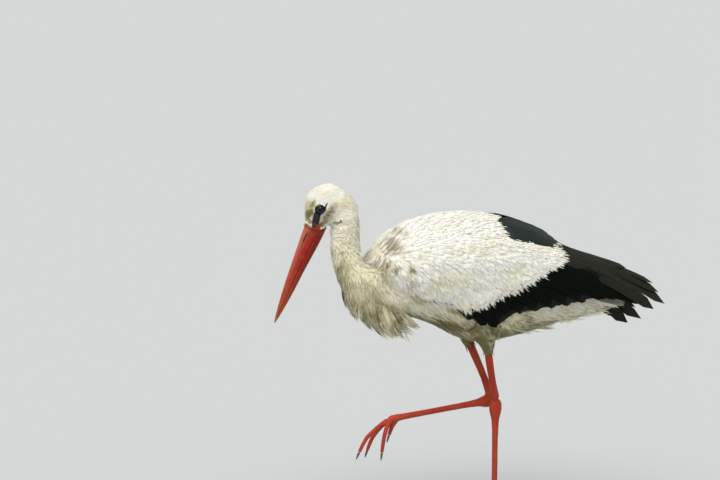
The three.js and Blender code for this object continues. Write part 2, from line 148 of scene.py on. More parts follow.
def new_object(name, mesh):
    """An object of the scene around a mesh."""
    obj = bpy.data.objects.new(name, mesh)
    bpy.context.scene.collection.objects.link(obj)
    return obj


def smoothstep(low, high, values):
    """0 below low and 1 above high, with a soft rise between."""
    t = np.clip((values - low) / (high - low), 0, 1)
    return t * t * (3 - 2 * t)


def swollen(nodes, swell):
    """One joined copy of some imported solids, each swollen a little to close the thin cuts between them."""
    shell = bmesh.new()
    for node in nodes:
        piece = bmesh.new()
        piece.from_mesh(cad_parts[node].data)
        bmesh.ops.remove_doubles(piece, verts=piece.verts, dist=1e-6)
        piece.normal_update()
        for v in piece.verts:
            v.co += v.normal * swell * MM
        spare = bpy.data.meshes.new("spare")
        piece.to_mesh(spare)
        shell.from_mesh(spare)
        bpy.data.meshes.remove(spare)
        piece.free()
    mesh = bpy.data.meshes.new("swollen")
    shell.to_mesh(mesh)
    shell.free()
    return mesh


def apply_modifiers(obj):
    """Gives an object the mesh that its modifiers make of it."""
    graph = bpy.context.evaluated_depsgraph_get()
    done = bpy.data.meshes.new_from_object(obj.evaluated_get(graph))
    obj.modifiers.clear()
    old = obj.data
    obj.data = done
    bpy.data.meshes.remove(old)


def remade(obj, voxel, rounds):
    """Remakes an object as one even closed surface with cells of the voxel's size in mm, and smooths it."""
    remesh = obj.modifiers.new("remesh", "REMESH")
    remesh.mode = "VOXEL"
    remesh.voxel_size = voxel * MM
    smooth = obj.modifiers.new("smooth", "SMOOTH")
    smooth.factor = 0.5
    smooth.iterations = rounds
    apply_modifiers(obj)
    return obj


def smooth_shaded(mesh):
    """Lights a mesh as a rounded surface."""
    mesh.polygons.foreach_set("use_smooth", np.ones(len(mesh.polygons), dtype=bool))


def nearest_node(points):
    """The index in flesh_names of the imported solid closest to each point."""
    return envelope_node[[envelope.find_nearest(p)[2] for p in points]]


def evened(values, mesh, rounds):
    """Values at the vertices, evened out along the edges."""
    a, b = from_mesh(mesh.edges, "vertices", 2, np.int64).T
    count = np.bincount(a, minlength=len(values)) + np.bincount(b, minlength=len(values)) + 1
    for _ in range(rounds):
        total = values + np.bincount(a, values[b], len(values)) + np.bincount(b, values[a], len(values))
        values = total / count
    return values


def cast(name, nodes, voxel, rounds, evening, swell=0.4):
    """The solids remade as one even smooth hide, sunk under their outer surface by the depth of the coat."""
    obj = remade(new_object(name, swollen(nodes, swell)), voxel, rounds)
    co = from_mesh(obj.data.vertices, "co", 3)
    depth = evened(flesh_depth[nearest_node(co)], obj.data, evening)
    co -= from_mesh(obj.data.vertices, "normal", 3) * ((depth + swell) * MM)[:, None]
    obj.data.vertices.foreach_set("co", co.ravel())
    return obj


def unite(target, tools):
    """Joins closed hides into one."""
    for tool in tools:
        join = target.modifiers.new("join", "BOOLEAN")
        join.operation = "UNION"
        join.solver = "MANIFOLD"
        join.object = tool
    apply_modifiers(target)
    for tool in tools:
        bpy.data.objects.remove(tool)


flesh_names = ["head", *TORSO_NODES, *WING_NODES, *LEG_NODES]
flesh_depth = np.array([next(d for stem, d in SINK.items() if stem in n) for n in flesh_names])
envelope_co, envelope_faces, envelope_node = [], [], []
for index, node in enumerate(flesh_names):
    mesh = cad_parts[node].data
    faces = faces_of(mesh)
    envelope_faces.append(faces + sum(len(c) for c in envelope_co))
    envelope_co.append(from_mesh(mesh.vertices, "co", 3))
    envelope_node.append(np.full(len(faces), index))
envelope_node = np.concatenate(envelope_node)
envelope = BVHTree.FromPolygons(np.concatenate(envelope_co).tolist(), np.concatenate(envelope_faces).tolist())

skin = cast("skin", [*TORSO_NODES, *WING_NODES], 3.5, 9, 6)
torso_co = from_mesh(skin.data.vertices, "co", 3)
y, z = torso_co[:, 1] / MM, torso_co[:, 2] / MM
# The belly is tucked up behind the hackles, and a fold marks where the neck meets the back.
tucked = np.interp(y, (-205, -165, -146, -113, -81, -63), (0, 22, 23, 15, 4, 0))
tucked *= 1 - smoothstep(345, 405, z)
nape_fold = 19 * np.exp(-(((y + 224) / 18) ** 2) - ((z - 474) / 16) ** 2)
torso_co[:, 2] += (tucked - nape_fold) * MM
skin.data.vertices.foreach_set("co", torso_co.ravel())
head_cast = cast("head_cast", ("head", "neck_upper"), 1.3, 18, 8)
leg_casts = [
    cast(f"leg_{side}", [n for n in LEG_NODES if side in n], 1.7, 5, 6, swell=1.4)
    for side in ("left", "right")
]

# The rims of the eyelids, almond-shaped, with the long axis across the line of the bill.
EYE_RADIUS = 8.0
EYE_PLACE = (-33.0, 5.0, 16.6)  # forward, up, to the side
LID_OPENING = (5.3, 6.3)  # half its length along the bill, and across it
LID_THICKNESS = 1.1
LID_LIFT = 5.9  # of the rim's middle over the eye's own middle
lid_casts = []
for side in (1, -1):
    lid = bmesh.new()
    around, across = 40, 10
    rings = []
    for i in range(around):
        angle = 2 * math.pi * i / around
        ring = []
        for j in range(across):
            turn = 2 * math.pi * j / across
            forward = (LID_OPENING[0] + LID_THICKNESS * math.cos(turn)) * math.cos(angle)
            up = (LID_OPENING[1] + LID_THICKNESS * math.cos(turn)) * math.sin(angle)
            drop = 1.3 * abs(math.sin(angle)) ** 3
            ring.append(lid.verts.new(on_head(
                EYE_PLACE[0] + forward,
                EYE_PLACE[1] + up - 0.25 * forward,
                side * (EYE_PLACE[2] + LID_LIFT - drop + LID_THICKNESS * math.sin(turn)),
            )))
        rings.append(ring)
    for i in range(around):
        for j in range(across):
            a, b = rings[i], rings[(i + 1) % around]
            lid.faces.new((a[j], b[j], b[(j + 1) % across], a[(j + 1) % across]))
    bmesh.ops.recalc_face_normals(lid, faces=lid.faces)
    lid_mesh = bpy.data.meshes.new("lid")
    lid.to_mesh(lid_mesh)
    lid.free()
    lid_casts.append(new_object("lid", lid_mesh))
unite(skin, [head_cast, *leg_casts, *lid_casts])
skin.name = skin.data.name = "skin"
smooth_shaded(skin.data)

bpy.ops.object.select_all(action="DESELECT")
skin.select_set(True)
bpy.context.view_layer.objects.active = skin
skin.data.uv_layers.new(name="OFBake")
bpy.ops.object.mode_set(mode="EDIT")
bpy.ops.mesh.select_all(action="SELECT")
bpy.ops.uv.smart_project(angle_limit=1.15, island_margin=0.003, scale_to_bounds=True)
bpy.ops.object.mode_set(mode="OBJECT")

skin_co = from_mesh(skin.data.vertices, "co", 3)
skin_normal = from_mesh(skin.data.vertices, "normal", 3)
skin_faces = faces_of(skin.data)
skin_uv = from_mesh(skin.data.uv_layers["OFBake"].uv, "vector", 2)[
    from_mesh(skin.data.loop_triangles, "loops", 3, np.int64)
]
skin_tree = BVHTree.FromPolygons(skin_co.tolist(), skin_faces.tolist())
skin_node = nearest_node(skin_co)


def on_nodes(node_index, *stems):
    """True where the nearest solid's name holds one of the stems."""
    wanted = [i for i, name in enumerate(flesh_names) if any(stem in name for stem in stems)]
    return np.isin(node_index, wanted)


def inside_patches(flat, patches):
    """How far points of the side view lie within soft round patches: 1 at a middle, 0 outside all."""
    amount = np.zeros(len(flat))
    for middle, radii, strength in patches:
        reach = np.linalg.norm((flat - np.array(middle)) / np.array(radii), axis=1)
        amount = np.maximum(amount, strength * (1 - smoothstep(0.25, 1.0, reach)))
    return amount


TAN_STREAKS = (  # middle (y, z) and half sizes in mm, and strength
    ((-187, 502), (13, 8), 0.75), ((-198, 484), (13, 11), 0.85), ((-207, 466), (14, 10), 1.0),
    ((-184, 462), (9, 14), 0.9), ((-180, 440), (10, 11), 0.9), ((-231, 473), (9, 12), 0.55),
    ((-222, 454), (10, 9), 0.6), ((-176, 418), (18, 7), 0.55), ((60, 342), (70, 16), 0.35),
)
SHADE_AND_SOIL_PATCHES = (  # painted shadow in creases, along the wing's lower edge and over the belly, and the wet and dust that gather there
    ((-150, 408), (44, 8), 0.8), ((-105, 388), (40, 8), 0.8), ((-60, 372), (30, 9), 0.7),
    ((-126, 440), (40, 26), 0.30), ((-82, 490), (60, 5), 0.30), ((-20, 492), (42, 4), 0.25),
    ((-205, 392), (44, 34), 0.75), ((-130, 362), (74, 30), 1.1),
)
FOREHEAD_FLUFF = (((-18, 17), (14, 6), 1.0), ((-32, 20), (10, 5), 0.6))
CHEEK_STAINS = (  # middle (forward, up) and half sizes on the head, and strength
    ((-38, -12), (16, 9), 0.85), ((-29, -10), (16, 9.5), 1.0), ((-20, -8.5), (15, 9), 1.05),
    ((-11, -8.5), (12, 7), 1.05),
)
FACE_SOIL_AND_SHADE = (  # forehead stain, painted shadow in the crease of the jaw, and the rims of the bill's base
    ((-16, 17), (20, 9), 0.90), ((-34, 20), (15, 8), 0.80), ((-24, 26), (26, 9), 0.5),
    ((-6, 12), (7, 6), 0.75), ((-21, -25), (5, 3), 1.5), ((-25, -28), (5, 3), 1.4),
    ((-30, -31), (6, 3), 1.2), ((-50, -22), (14, 10), 0.35), ((6, -11), (7, 4), 0.55),
)


SHEATH_HEIGHTS = (-22, -18, -13, -11.5, -9.5, -6.5, -5, -2, 4, 8, 14, 19)
SHEATH_REACH = (-9, -5, 3, 3.5, 1, -9, -13, -5, 1.5, 2, 1, 3)


def sheath_edge(up):
    """How far forward the plumage reaches at the bill's base, by height on the head."""
    return np.interp(up, SHEATH_HEIGHTS, SHEATH_REACH)


SHADED_SOILED_BELOW, CLEAN_ABOVE = 325, 425  # heights between which the belly, wet, dusty and darkened with painted shade, turns to clean white
RIGHT_SIDE_STAINS = 0.35  # of the left side's


def stains_and_shade(points):
    """How dirty and how shaded the plumage is at each place: a general khaki, which on the underside, in
    creases and under the wing is also painted shade, and tan to orange-brown streaks.
    """
    flat = points[:, 1:] / MM
    head = in_head(points)
    near_head = smoothstep(-110, -80, head[:, 0]) * smoothstep(-60, -40, head[:, 1])
    # Darker towards the bottom: the belly's wet and dust, and painted shade of the underside.
    low = 1 - smoothstep(SHADED_SOILED_BELOW, CLEAN_ABOVE, flat[:, 1])
    soil = 0.06 + 0.92 * low * (1 - 0.5 * smoothstep(20, 90, flat[:, 0]))
    # The front of the neck is a little darker: painted shade.
    throat = 1 - smoothstep(-274, -255, flat[:, 0])
    neck = 0.28 + 0.56 * (1 - smoothstep(380, 500, flat[:, 1])) + 0.16 * throat
    soil = np.maximum(soil, neck * (1 - smoothstep(-235, -175, flat[:, 0])))
    soil = np.maximum(soil, inside_patches(flat, SHADE_AND_SOIL_PATCHES))
    face = np.maximum(0.12, inside_patches(head[:, :2], FACE_SOIL_AND_SHADE))
    chin = smoothstep(12, -30, head[:, 1]) * (1 - smoothstep(-60, -30, head[:, 0]) * 0.3)
    face = np.maximum(face, 0.30 * chin)
    collar = 1 - smoothstep(1.5, 6, np.abs(head[:, 0] - sheath_edge(head[:, 1])))
    face = np.maximum(face, 0.85 * collar * smoothstep(-21, -16, head[:, 1]))
    soil = soil * (1 - near_head) + face * near_head
    tan = inside_patches(flat, TAN_STREAKS) * (1 - near_head)
    tan = tan * np.where(points[:, 0] > 0, 1.0, RIGHT_SIDE_STAINS)
    tan = np.maximum(tan, inside_patches(head[:, :2], CHEEK_STAINS) * near_head)
    return np.clip(soil, 0, 1.2), np.clip(tan, 0, 1)


def set_numbers(mesh, **values):
    """Keeps numbers at a mesh's vertices, for its material to read."""
    for name, numbers in values.items():
        layer = mesh.attributes.new(name, "FLOAT", "POINT")
        layer.data.foreach_set("value", np.asarray(numbers, dtype=np.float32))


def from_stretch(points, a, b):
    """How far along a straight stretch of the side view points lie, from 0 to 1, and how far off it."""
    a, b = np.array(a), np.array(b)
    t = np.clip(((points - a) @ (b - a)) / ((b - a) @ (b - a)), 0, 1)
    return t, np.linalg.norm(points - a - t[:, None] * (b - a), axis=1)


def beside_line(points, line, half_width):
    """1 on a bent line of the side view, fading to 0 at its half width, which has a value at each bend."""
    amount = np.zeros(len(points))
    for (a, wide_a), (b, wide_b) in zip(zip(line, half_width), zip(line[1:], half_width[1:])):
        t, away = from_stretch(points, a, b)
        wide = wide_a + (wide_b - wide_a) * t
        amount = np.maximum(amount, 1 - smoothstep(0.8, 1.15, away / wide))
    return amount


LORE_LINE = ((-1.5, 2.2), (-9, 3.0), (-17, 4.8), (-24, 6.4), (-33, 5.4))
LORE_HALF_WIDTH = (4.4, 6.6, 6.6, 6.4, 7.4)
EYE_STREAK = ((-35, -1.0), (-42, -0.6), (-48.5, -1.2))
STREAK_HALF_WIDTH = (3.0, 1.7, 0.9)


def bare_face(points):
    """1 on the naked black skin of lores and eye ring."""
    head = in_head(points)
    lore = beside_line(head[:, :2], LORE_LINE, LORE_HALF_WIDTH)
    face = np.maximum(lore, beside_line(head[:, :2], EYE_STREAK, STREAK_HALF_WIDTH))
    ring = np.linalg.norm((head[:, :2] - np.array(EYE_PLACE[:2])) / np.array([7.2, 8.3]), axis=1)
    face = np.maximum(face, 1 - smoothstep(0.9, 1.05, ring))
    return face * (np.abs(head[:, 2]) > 6) * (head[:, 0] > -60)


head_places = in_head(skin_co)
# The hide's dirt with its painted shade, and its tan streaks.
skin_soil, skin_tan = stains_and_shade(skin_co)
skin_bare = bare_face(skin_co)
past_plumage = head_places[:, 0] - sheath_edge(head_places[:, 1])
skin_sheath = smoothstep(-0.7, 0.7, past_plumage) * on_nodes(skin_node, "head")
skin_black = on_nodes(skin_node, "remiges", "scapulars").astype(float)
skin_leg = on_nodes(skin_node, "shank", "tarsus", "toe").astype(float)
set_numbers(
    skin.data, soil=skin_soil, tan=skin_tan, bare=skin_bare, sheath=skin_sheath, black=skin_black,
    naked_leg=evened(skin_leg, skin.data, 3), tone=np.full(len(skin_co), 0.5),
    along=np.full(len(skin_co), 0.35),
)


class Paint:
    """A material being put together: adds nodes and joins them to its shader."""

    def __init__(self, tree, shader=None):
        self.tree = tree
        self.shader = shader

    def put(self, kind, inputs=None, **settings):
        """Adds a node, joins or sets its inputs, and gives it back."""
        node = self.tree.nodes.new(kind)
        for name, value in settings.items():
            setattr(node, name, value)
        for name, value in (inputs or {}).items():
            self.feed(value, node.inputs[name])
        return node

    def feed(self, value, socket):
        """Joins a node's output to a socket, or sets the socket's own value."""
        if isinstance(value, bpy.types.NodeSocket):
            self.tree.links.new(value, socket)
        else:
            socket.default_value = value

    def number(self, name):
        """The numbers kept at the mesh's vertices under a name."""
        return self.put("ShaderNodeAttribute", attribute_name=name).outputs["Fac"]

    def noise(self, scale, detail=3.0, stretch=(1, 1, 1)):
        """Cloudy unevenness that stays fixed to the object."""
        place = self.put("ShaderNodeTexCoord").outputs["Object"]
        place = self.put("ShaderNodeMapping", {"Vector": place, "Scale": stretch}).outputs["Vector"]
        node = self.put("ShaderNodeTexNoise", {"Vector": place, "Scale": scale, "Detail": detail})
        return node.outputs["Fac"]

    def sum(self, operation, a, b=0.5, c=0.5):
        """One step of arithmetic."""
        node = self.put("ShaderNodeMath", operation=operation)
        for value, socket in zip((a, b, c), node.inputs):
            self.feed(value, socket)
        return node.outputs[0]

    def span(self, value, low, high, to_low=0.0, to_high=1.0):
        """A value taken from one range to another and held inside it."""
        return self.put(
            "ShaderNodeMapRange",
            {"Value": value, "From Min": low, "From Max": high, "To Min": to_low, "To Max": to_high},
        ).outputs["Result"]

    def mix(self, amount, a, b):
        """Two colours mixed."""
        node = self.put("ShaderNodeMix", data_type="RGBA")
        for value, socket in zip((amount, a, b), (node.inputs[0], node.inputs[6], node.inputs[7])):
            self.feed(value, socket)
        return node.outputs[2]

    def relief(self, height, distance, strength):
        """Raises the surface by a height that changes over it."""
        bump = self.put("ShaderNodeBump", {"Height": height, "Distance": distance, "Strength": strength})
        self.feed(bump.outputs["Normal"], self.shader["Normal"])

    def group(self, tree, **inputs):
        """Places a shared effect, with this material's values for its inputs."""
        node = self.put("ShaderNodeGroup", node_tree=tree)
        for name, value in inputs.items():
            self.feed(value, node.inputs[name.replace("_", " ").capitalize()])
        return node.outputs


def new_paint(name, roughness, **uniform):
    """A material, with the settings that are the same all over it, and the Paint that adds its nodes."""
    material = bpy.data.materials.new(name)
    material.use_nodes = True
    shader = material.node_tree.nodes["Principled BSDF"]
    shader.inputs["Roughness"].default_value = roughness
    for socket, value in uniform.items():
        shader.inputs[socket.replace("_", " ").title().replace("Ior", "IOR")].default_value = value
    return material, Paint(material.node_tree, shader.inputs)


def new_effect(name, inputs, outputs):
    """A shader node group with named sockets, and the nodes that read and write them."""
    tree = bpy.data.node_groups.new(name, "ShaderNodeTree")
    for direction, sockets in (("INPUT", inputs), ("OUTPUT", outputs)):
        for socket, kind in sockets.items():
            tree.interface.new_socket(socket, in_out=direction, socket_type=kind)
    paint = Paint(tree)
    return tree, paint, paint.put("NodeGroupInput").outputs, paint.put("NodeGroupOutput").inputs


# Plumage: clean white, warmed to khaki where it is dirty and where painted shade lies on it, and to
# orange-brown where it is stained.
plumage_effect, put, given, result = new_effect(
    "plumage_colour",
    {name: "NodeSocketColor" for name in ("Clean", "Cream", "Khaki", "Rust")},
    {"Color": "NodeSocketColor", "Height": "NodeSocketFloat"},
)
broad = put.noise(38.0, 3.0)
streaks = put.noise(260.0, 2.0, (1.0, 0.45, 0.6))
uneven = put.sum("ADD", put.number("soil"), put.span(broad, 0.35, 0.65, -0.14, 0.14))
uneven = put.sum("ADD", uneven, put.span(put.number("tone"), 0.0, 1.0, -0.15, 0.15))
# Darker at a feather's root than at its tip: partly the root's warmer tone, partly painted shade of the
# feathers lying over it.
uneven = put.sum("ADD", uneven, put.span(put.number("along"), 0.1, 0.9, 0.12, -0.08))
soiled = put.mix(put.span(uneven, 0.0, 0.5), given["Clean"], given["Cream"])
soiled = put.mix(put.span(uneven, 0.5, 1.0), soiled, given["Khaki"])
streaked = put.span(put.sum("ADD", streaks, put.number("tone")), 0.6, 1.15, 0.45, 1.0)
rusty = put.sum("MULTIPLY", put.number("tan"), streaked)
put.feed(put.mix(rusty, soiled, given["Rust"]), result["Color"])
put.feed(streaks, result["Height"])

CLEAN_WHITE = (0.88, 0.86, 0.79, 1)
WARM_CREAM = (0.74, 0.68, 0.46, 1)
# Khaki of the dirty belly, made darker still as painted shade for the underside and the creases.
KHAKI_SOIL_AND_SHADE = (0.18, 0.155, 0.058, 1)
RUST = (0.215, 0.145, 0.052, 1)
BARE_FACE = (0.006, 0.008, 0.007, 1)
LEG_RED = (0.37, 0.022, 0.006, 1)
LEG_ORANGE = (0.47, 0.055, 0.014, 1)
BILL_RED = (0.27, 0.012, 0.006, 1)

skin_paint, put = new_paint("naked_skin", 0.6, specular_ior_level=0.3)
plumage = put.group(plumage_effect, clean=CLEAN_WHITE, cream=WARM_CREAM, khaki=KHAKI_SOIL_AND_SHADE, rust=RUST)
scute = put.put(
    "ShaderNodeTexVoronoi",
    {"Vector": put.put("ShaderNodeTexCoord").outputs["Object"], "Scale": 300.0},
    feature="DISTANCE_TO_EDGE",
).outputs["Distance"]
leg = put.mix(put.span(put.noise(28.0), 0.35, 0.65), LEG_RED, LEG_ORANGE)
leg = put.mix(put.span(scute, 0.0, 0.12, 0.55, 0.0), leg, (0.16, 0.02, 0.01, 1))
colour = put.mix(put.number("black"), plumage["Color"], (0.002, 0.003, 0.002, 1))
colour = put.mix(put.number("naked_leg"), colour, leg)
face = put.mix(put.span(put.noise(420.0), 0.4, 0.7), BARE_FACE, (0.020, 0.036, 0.028, 1))
colour = put.mix(put.number("bare"), colour, face)
colour = put.mix(put.number("sheath"), colour, BILL_RED)
put.feed(colour, put.shader["Base Color"])
rough = put.span(put.number("bare"), 0.0, 1.0, 0.8, 0.42)
rough = put.sum("SUBTRACT", rough, put.span(put.number("naked_leg"), 0.0, 1.0, 0.0, 0.34))
rough = put.sum("SUBTRACT", rough, put.span(put.number("sheath"), 0.0, 1.0, 0.0, 0.36))
put.feed(rough, put.shader["Roughness"])
relief = put.sum("MULTIPLY", put.span(scute, 0.0, 0.16), put.number("naked_leg"))
relief = put.sum("ADD", relief, put.sum("MULTIPLY", put.noise(900.0, 2.0), 0.35))
put.relief(relief, 0.0006, 0.8)
skin.data.materials.clear()
skin.data.materials.append(skin_paint)
skin.data.polygons.foreach_set("material_index", [0] * len(skin.data.polygons))
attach(skin, "root")
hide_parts("head", *TORSO_NODES, *WING_NODES, *LEG_NODES)

# ---- Eyes: dark brown, almost black, set deep between the lids and always wet ----
# Each is a ball with the clear cornea swelling over a brown iris and a round pupil. It sits behind the
# almond-shaped rims of the lids, which the skin carries.
BROWN_IRIS = (0.014, 0.006, 0.004, 1)
eye_paint, put = new_paint("wet_eye", 0.15, coat_weight=0.4, coat_roughness=0.03, specular_ior_level=0.1)
off_axis = put.number("off_axis")
iris = put.mix(put.span(put.noise(1500.0), 0.35, 0.65), BROWN_IRIS, (0.007, 0.004, 0.003, 1))
iris = put.mix(put.span(off_axis, 3.0, 3.4), (0.001, 0.001, 0.001, 1), iris)
put.feed(put.mix(put.span(off_axis, 5.2, 5.8), iris, (0.004, 0.004, 0.004, 1)), put.shader["Base Color"])
for name, side in (("left", 1), ("right", -1)):
    ball = bmesh.new()
    bmesh.ops.create_uvsphere(ball, u_segments=48, v_segments=32, radius=EYE_RADIUS)
    off = []
    for v in ball.verts:  # the ball's own z axis points out of the head
        out = math.hypot(v.co.x, v.co.y)
        if v.co.z > 0:
            v.co.z += 0.7 * max(0.0, 1 - (out / 5.8) ** 2)
        off.append(out if v.co.z > 0 else 99.0)
        forward, up, lift = v.co
        v.co = on_head(EYE_PLACE[0] + forward, EYE_PLACE[1] + up, side * (EYE_PLACE[2] - 0.6 + lift))
    bmesh.ops.recalc_face_normals(ball, faces=ball.faces)
    for face in ball.faces:
        face.smooth = True
    ball_mesh = bpy.data.meshes.new(f"eye_{name}_ball")
    ball.to_mesh(ball_mesh)
    ball.free()
    set_numbers(ball_mesh, off_axis=off)
    ball_mesh.materials.append(eye_paint)
    eye = new_object(f"eye_{name}_ball", ball_mesh)
    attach(eye, "root")
    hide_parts(f"eye_{name}")

# ---- Bill: two long straight halves of red horn that close along their cutting edges ----
# The horn is dull and scuffed, darker at the base and more orange to the tip, with a painted highlight, pale
# and pinkish, along the top. The nostril is a slit in a shallow groove, both darkened with painted shade.
NOSTRIL = ((15.0, 8.6), (28.5, 9.5))  # forward, up
NOSTRIL_GROOVE = ((12.0, 8.2), (30.0, 9.4), (75.0, 5.6))


def press(co, normal, flat, line, half_width, depth):
    """Sinks a soft groove along a line of the side view into both flanks."""
    amount = np.zeros(len(co))
    for a, b in zip(line, line[1:]):
        away = from_stretch(flat, a, b)[1]
        amount = np.maximum(amount, 1 - smoothstep(0.15, 1.0, away / half_width))
    return co - normal * (amount * depth * MM)[:, None], amount


bill_paint, put = new_paint("bill_horn", 0.42, specular_ior_level=0.22)
along = put.number("bill_along")
over = put.number("bill_over")
grain = put.noise(1.0, 4.0, (300.0, 300.0, 300.0))
streak_place = put.put(
    "ShaderNodeCombineXYZ", {"X": put.sum("MULTIPLY", along, 0.035), "Y": put.sum("MULTIPLY", over, 0.55)}
).outputs[0]
streaks = put.put("ShaderNodeTexNoise", {"Vector": streak_place, "Scale": 3.0, "Detail": 4.0}).outputs["Fac"]
blotch = put.noise(60.0, 3.0)
red = put.mix(put.span(over, -14.0, 4.0), (0.20, 0.004, 0.001, 1), (0.30, 0.014, 0.006, 1))
# Pale pink towards the top of the upper half: a painted highlight of the sky on the horn.
red = put.mix(put.span(over, 4.0, 13.0, 0.0, 0.75), red, (0.50, 0.16, 0.105, 1))
red = put.mix(put.span(along, 70.0, 172.0, 0.0, 0.85), red, (0.36, 0.090, 0.022, 1))
red = put.mix(put.sum("MULTIPLY", put.span(streaks, 0.5, 0.72), 0.55), red, (0.42, 0.10, 0.06, 1))
red = put.mix(put.sum("MULTIPLY", put.span(streaks, 0.46, 0.3), 0.6), red, (0.15, 0.012, 0.006, 1))
base = put.span(put.sum("ADD", along, put.span(blotch, 0.3, 0.7, -8.0, 8.0)), 16.0, -2.0, 0.0, 0.45)
red = put.mix(base, red, (0.17, 0.05, 0.04, 1))
# The nostril slit and its groove are darkened: painted shade.
red = put.mix(put.sum("MULTIPLY", put.number("nostril"), 0.92), red, (0.012, 0.004, 0.003, 1))
red = put.mix(put.sum("MULTIPLY", put.number("groove"), 0.45), red, (0.12, 0.02, 0.012, 1))
put.feed(red, put.shader["Base Color"])
put.feed(put.span(streaks, 0.3, 0.7, 0.30, 0.46), put.shader["Roughness"])
relief = put.sum("ADD", put.sum("MULTIPLY", streaks, 1.0), put.sum("MULTIPLY", grain, 0.25))
put.relief(relief, 0.0007, 0.6)
for node in ("bill_upper", "bill_lower"):
    horn = remade(new_object(f"{node}_horn", swollen((node,), 0.05)), voxel=0.8, rounds=6)
    co = from_mesh(horn.data.vertices, "co", 3)
    normal = from_mesh(horn.data.vertices, "normal", 3)
    flat = in_head(co)[:, :2]
    nostril = groove = np.zeros(len(co))
    if node == "bill_upper":
        co, groove = press(co, normal, flat, NOSTRIL_GROOVE, 1.7, 0.45)
        co, nostril = press(co, normal, flat, NOSTRIL, 1.5, 1.5)
        groove = groove * (1 - smoothstep(40, 75, flat[:, 0]))
    horn.data.vertices.foreach_set("co", co.ravel())
    smooth_shaded(horn.data)
    set_numbers(horn.data, bill_along=flat[:, 0], bill_over=flat[:, 1], nostril=nostril, groove=groove)
    horn.data.materials.clear()
    horn.data.materials.append(bill_paint)
    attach(horn, "root")
    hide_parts(node)

# ---- Claws: short, blunt and dark, flattened like nails, one at the end of each toe ----
# They are horn, worn pale in places, and grow out of the red skin of the toes.
claw_paint, put = new_paint("claw_horn", 0.45)
put.feed(
    put.mix(put.span(put.noise(220.0), 0.35, 0.7), (0.035, 0.017, 0.012, 1), (0.10, 0.055, 0.038, 1)),
    put.shader["Base Color"],
)
put.relief(put.noise(700.0), 0.0003, 0.5)
for node in [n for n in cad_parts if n.startswith("claw")]:
    claw = remade(new_object(f"{node}_horn", swollen((node,), 0.0)), voxel=0.45, rounds=4)
    smooth_shaded(claw.data)
    claw.data.materials.clear()
    claw.data.materials.append(claw_paint)
    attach(claw, "root")
    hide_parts(node)

# ---- Plumage of the head: short stiff feathers, smallest round the bill and eye ----
# Each tuft is one feather, its barbs gathered in a fan of fine locks that spring from one root in the hide.
# They stream back over the crown from the forehead and down the cheek to the throat.
FLOW = (  # y, z in mm, and how many degrees below level the feathers point, backwards along the body
    (-325, 530, -85), (-300, 590, -20), (-265, 592, 10), (-240, 565, 70), (-230, 530, 92), (-290, 550, -50),
    (-270, 555, -10), (-255, 530, 80), (-295, 520, -50), (-270, 530, 60), (-262, 470, 88), (-260, 430, 78),
    (-240, 440, 75), (-225, 440, 70), (-235, 400, 62), (-210, 400, 55), (-200, 450, 50), (-190, 370, 50),
    (-170, 400, 45), (-150, 350, 40), (-235, 470, 60), (-205, 495, -10), (-180, 512, -5), (-140, 528, 5),
    (-60, 538, 5), (0, 525, 12), (-130, 370, 35), (-90, 345, 25), (-60, 330, 30), (-20, 320, 35),
    (-20, 310, 80), (20, 330, 20), (60, 330, 18), (100, 345, 15), (150, 360, 14), (190, 360, 14),
    (-200, 460, 45), (-170, 430, 62), (-150, 480, 30), (-130, 440, 64), (-120, 400, 55), (-100, 420, 64),
    (-90, 480, 25), (-60, 440, 60), (-50, 400, 55), (-20, 440, 52), (-40, 490, 20), (10, 440, 45),
    (20, 480, 25), (40, 450, 35), (60, 470, 20), (80, 460, 22),
)
flow_places = np.array(FLOW)[:, :2]
flow_slopes = np.radians(np.array(FLOW)[:, 2])
flow_arrows = np.stack((np.zeros(len(FLOW)), np.cos(flow_slopes), -np.sin(flow_slopes)), axis=1)
rng = np.random.default_rng(7)


def coat_flow(points):
    """The way the feathers lie at each place, blended from the nearest known directions."""
    reach = np.linalg.norm(points[:, None, 1:] / MM - flow_places[None], axis=2)
    weight = 1 / (reach + 3.0) ** 3
    return weight @ flow_arrows / weight.sum(axis=1)[:, None]


def unit(vectors):
    """The same directions, one long."""
    return vectors / np.maximum(np.linalg.norm(vectors, axis=-1, keepdims=True), 1e-12)


TRIES_FOR_EACH = 7  # places drawn at random for each that finds room


def scatter(wanted, spacing, clear=25.0):
    """Places on the hide for roots, no two closer than the spacing in mm, none within a closed fold."""
    corners = skin_co[skin_faces]
    area = np.linalg.norm(np.cross(corners[:, 1] - corners[:, 0], corners[:, 2] - corners[:, 0]), axis=1) / 2
    area *= wanted[skin_faces].min(axis=1)
    tries = int(area.sum() / (spacing * MM) ** 2 * TRIES_FOR_EACH)
    face = rng.choice(len(area), size=tries, p=area / area.sum())
    a, b = rng.random((2, tries, 1))
    a, b = np.where(a + b > 1, 1 - a, a), np.where(a + b > 1, 1 - b, b)
    share = np.concatenate((1 - a - b, a, b), axis=1)
    points = np.einsum("nk,nkc->nc", share, corners[face])
    cells = np.floor(points / (spacing * MM)).astype(int)
    taken, kept = {}, []
    limit = (spacing * MM) ** 2
    for i, (x, y, z) in enumerate(cells.tolist()):
        near = [
            j for u in (x - 1, x, x + 1) for v in (y - 1, y, y + 1) for w in (z - 1, z, z + 1)
            for j in taken.get((u, v, w), ())
        ]
        if near and (((points[near] - points[i]) ** 2).sum(axis=1) < limit).any():
            continue
        taken.setdefault((x, y, z), []).append(i)
        kept.append(i)
    normal = unit(np.einsum("nk,nkc->nc", share[kept], skin_normal[skin_faces[face[kept]]]))
    open_air = [
        i for i, (k, n) in enumerate(zip(kept, normal))
        if skin_tree.ray_cast(points[k] + n * 1.5 * MM, n, clear * MM)[0] is None
    ]
    kept = np.array(kept)[open_air]
    uv = np.einsum("nk,nkc->nc", share[kept], skin_uv[face[kept]])
    return points[kept], uv


OFF_THE_EDGE = 4.0  # mm from the hide, past which a feather runs on straight
STEADY = 0.6  # how much of its last direction a feather keeps


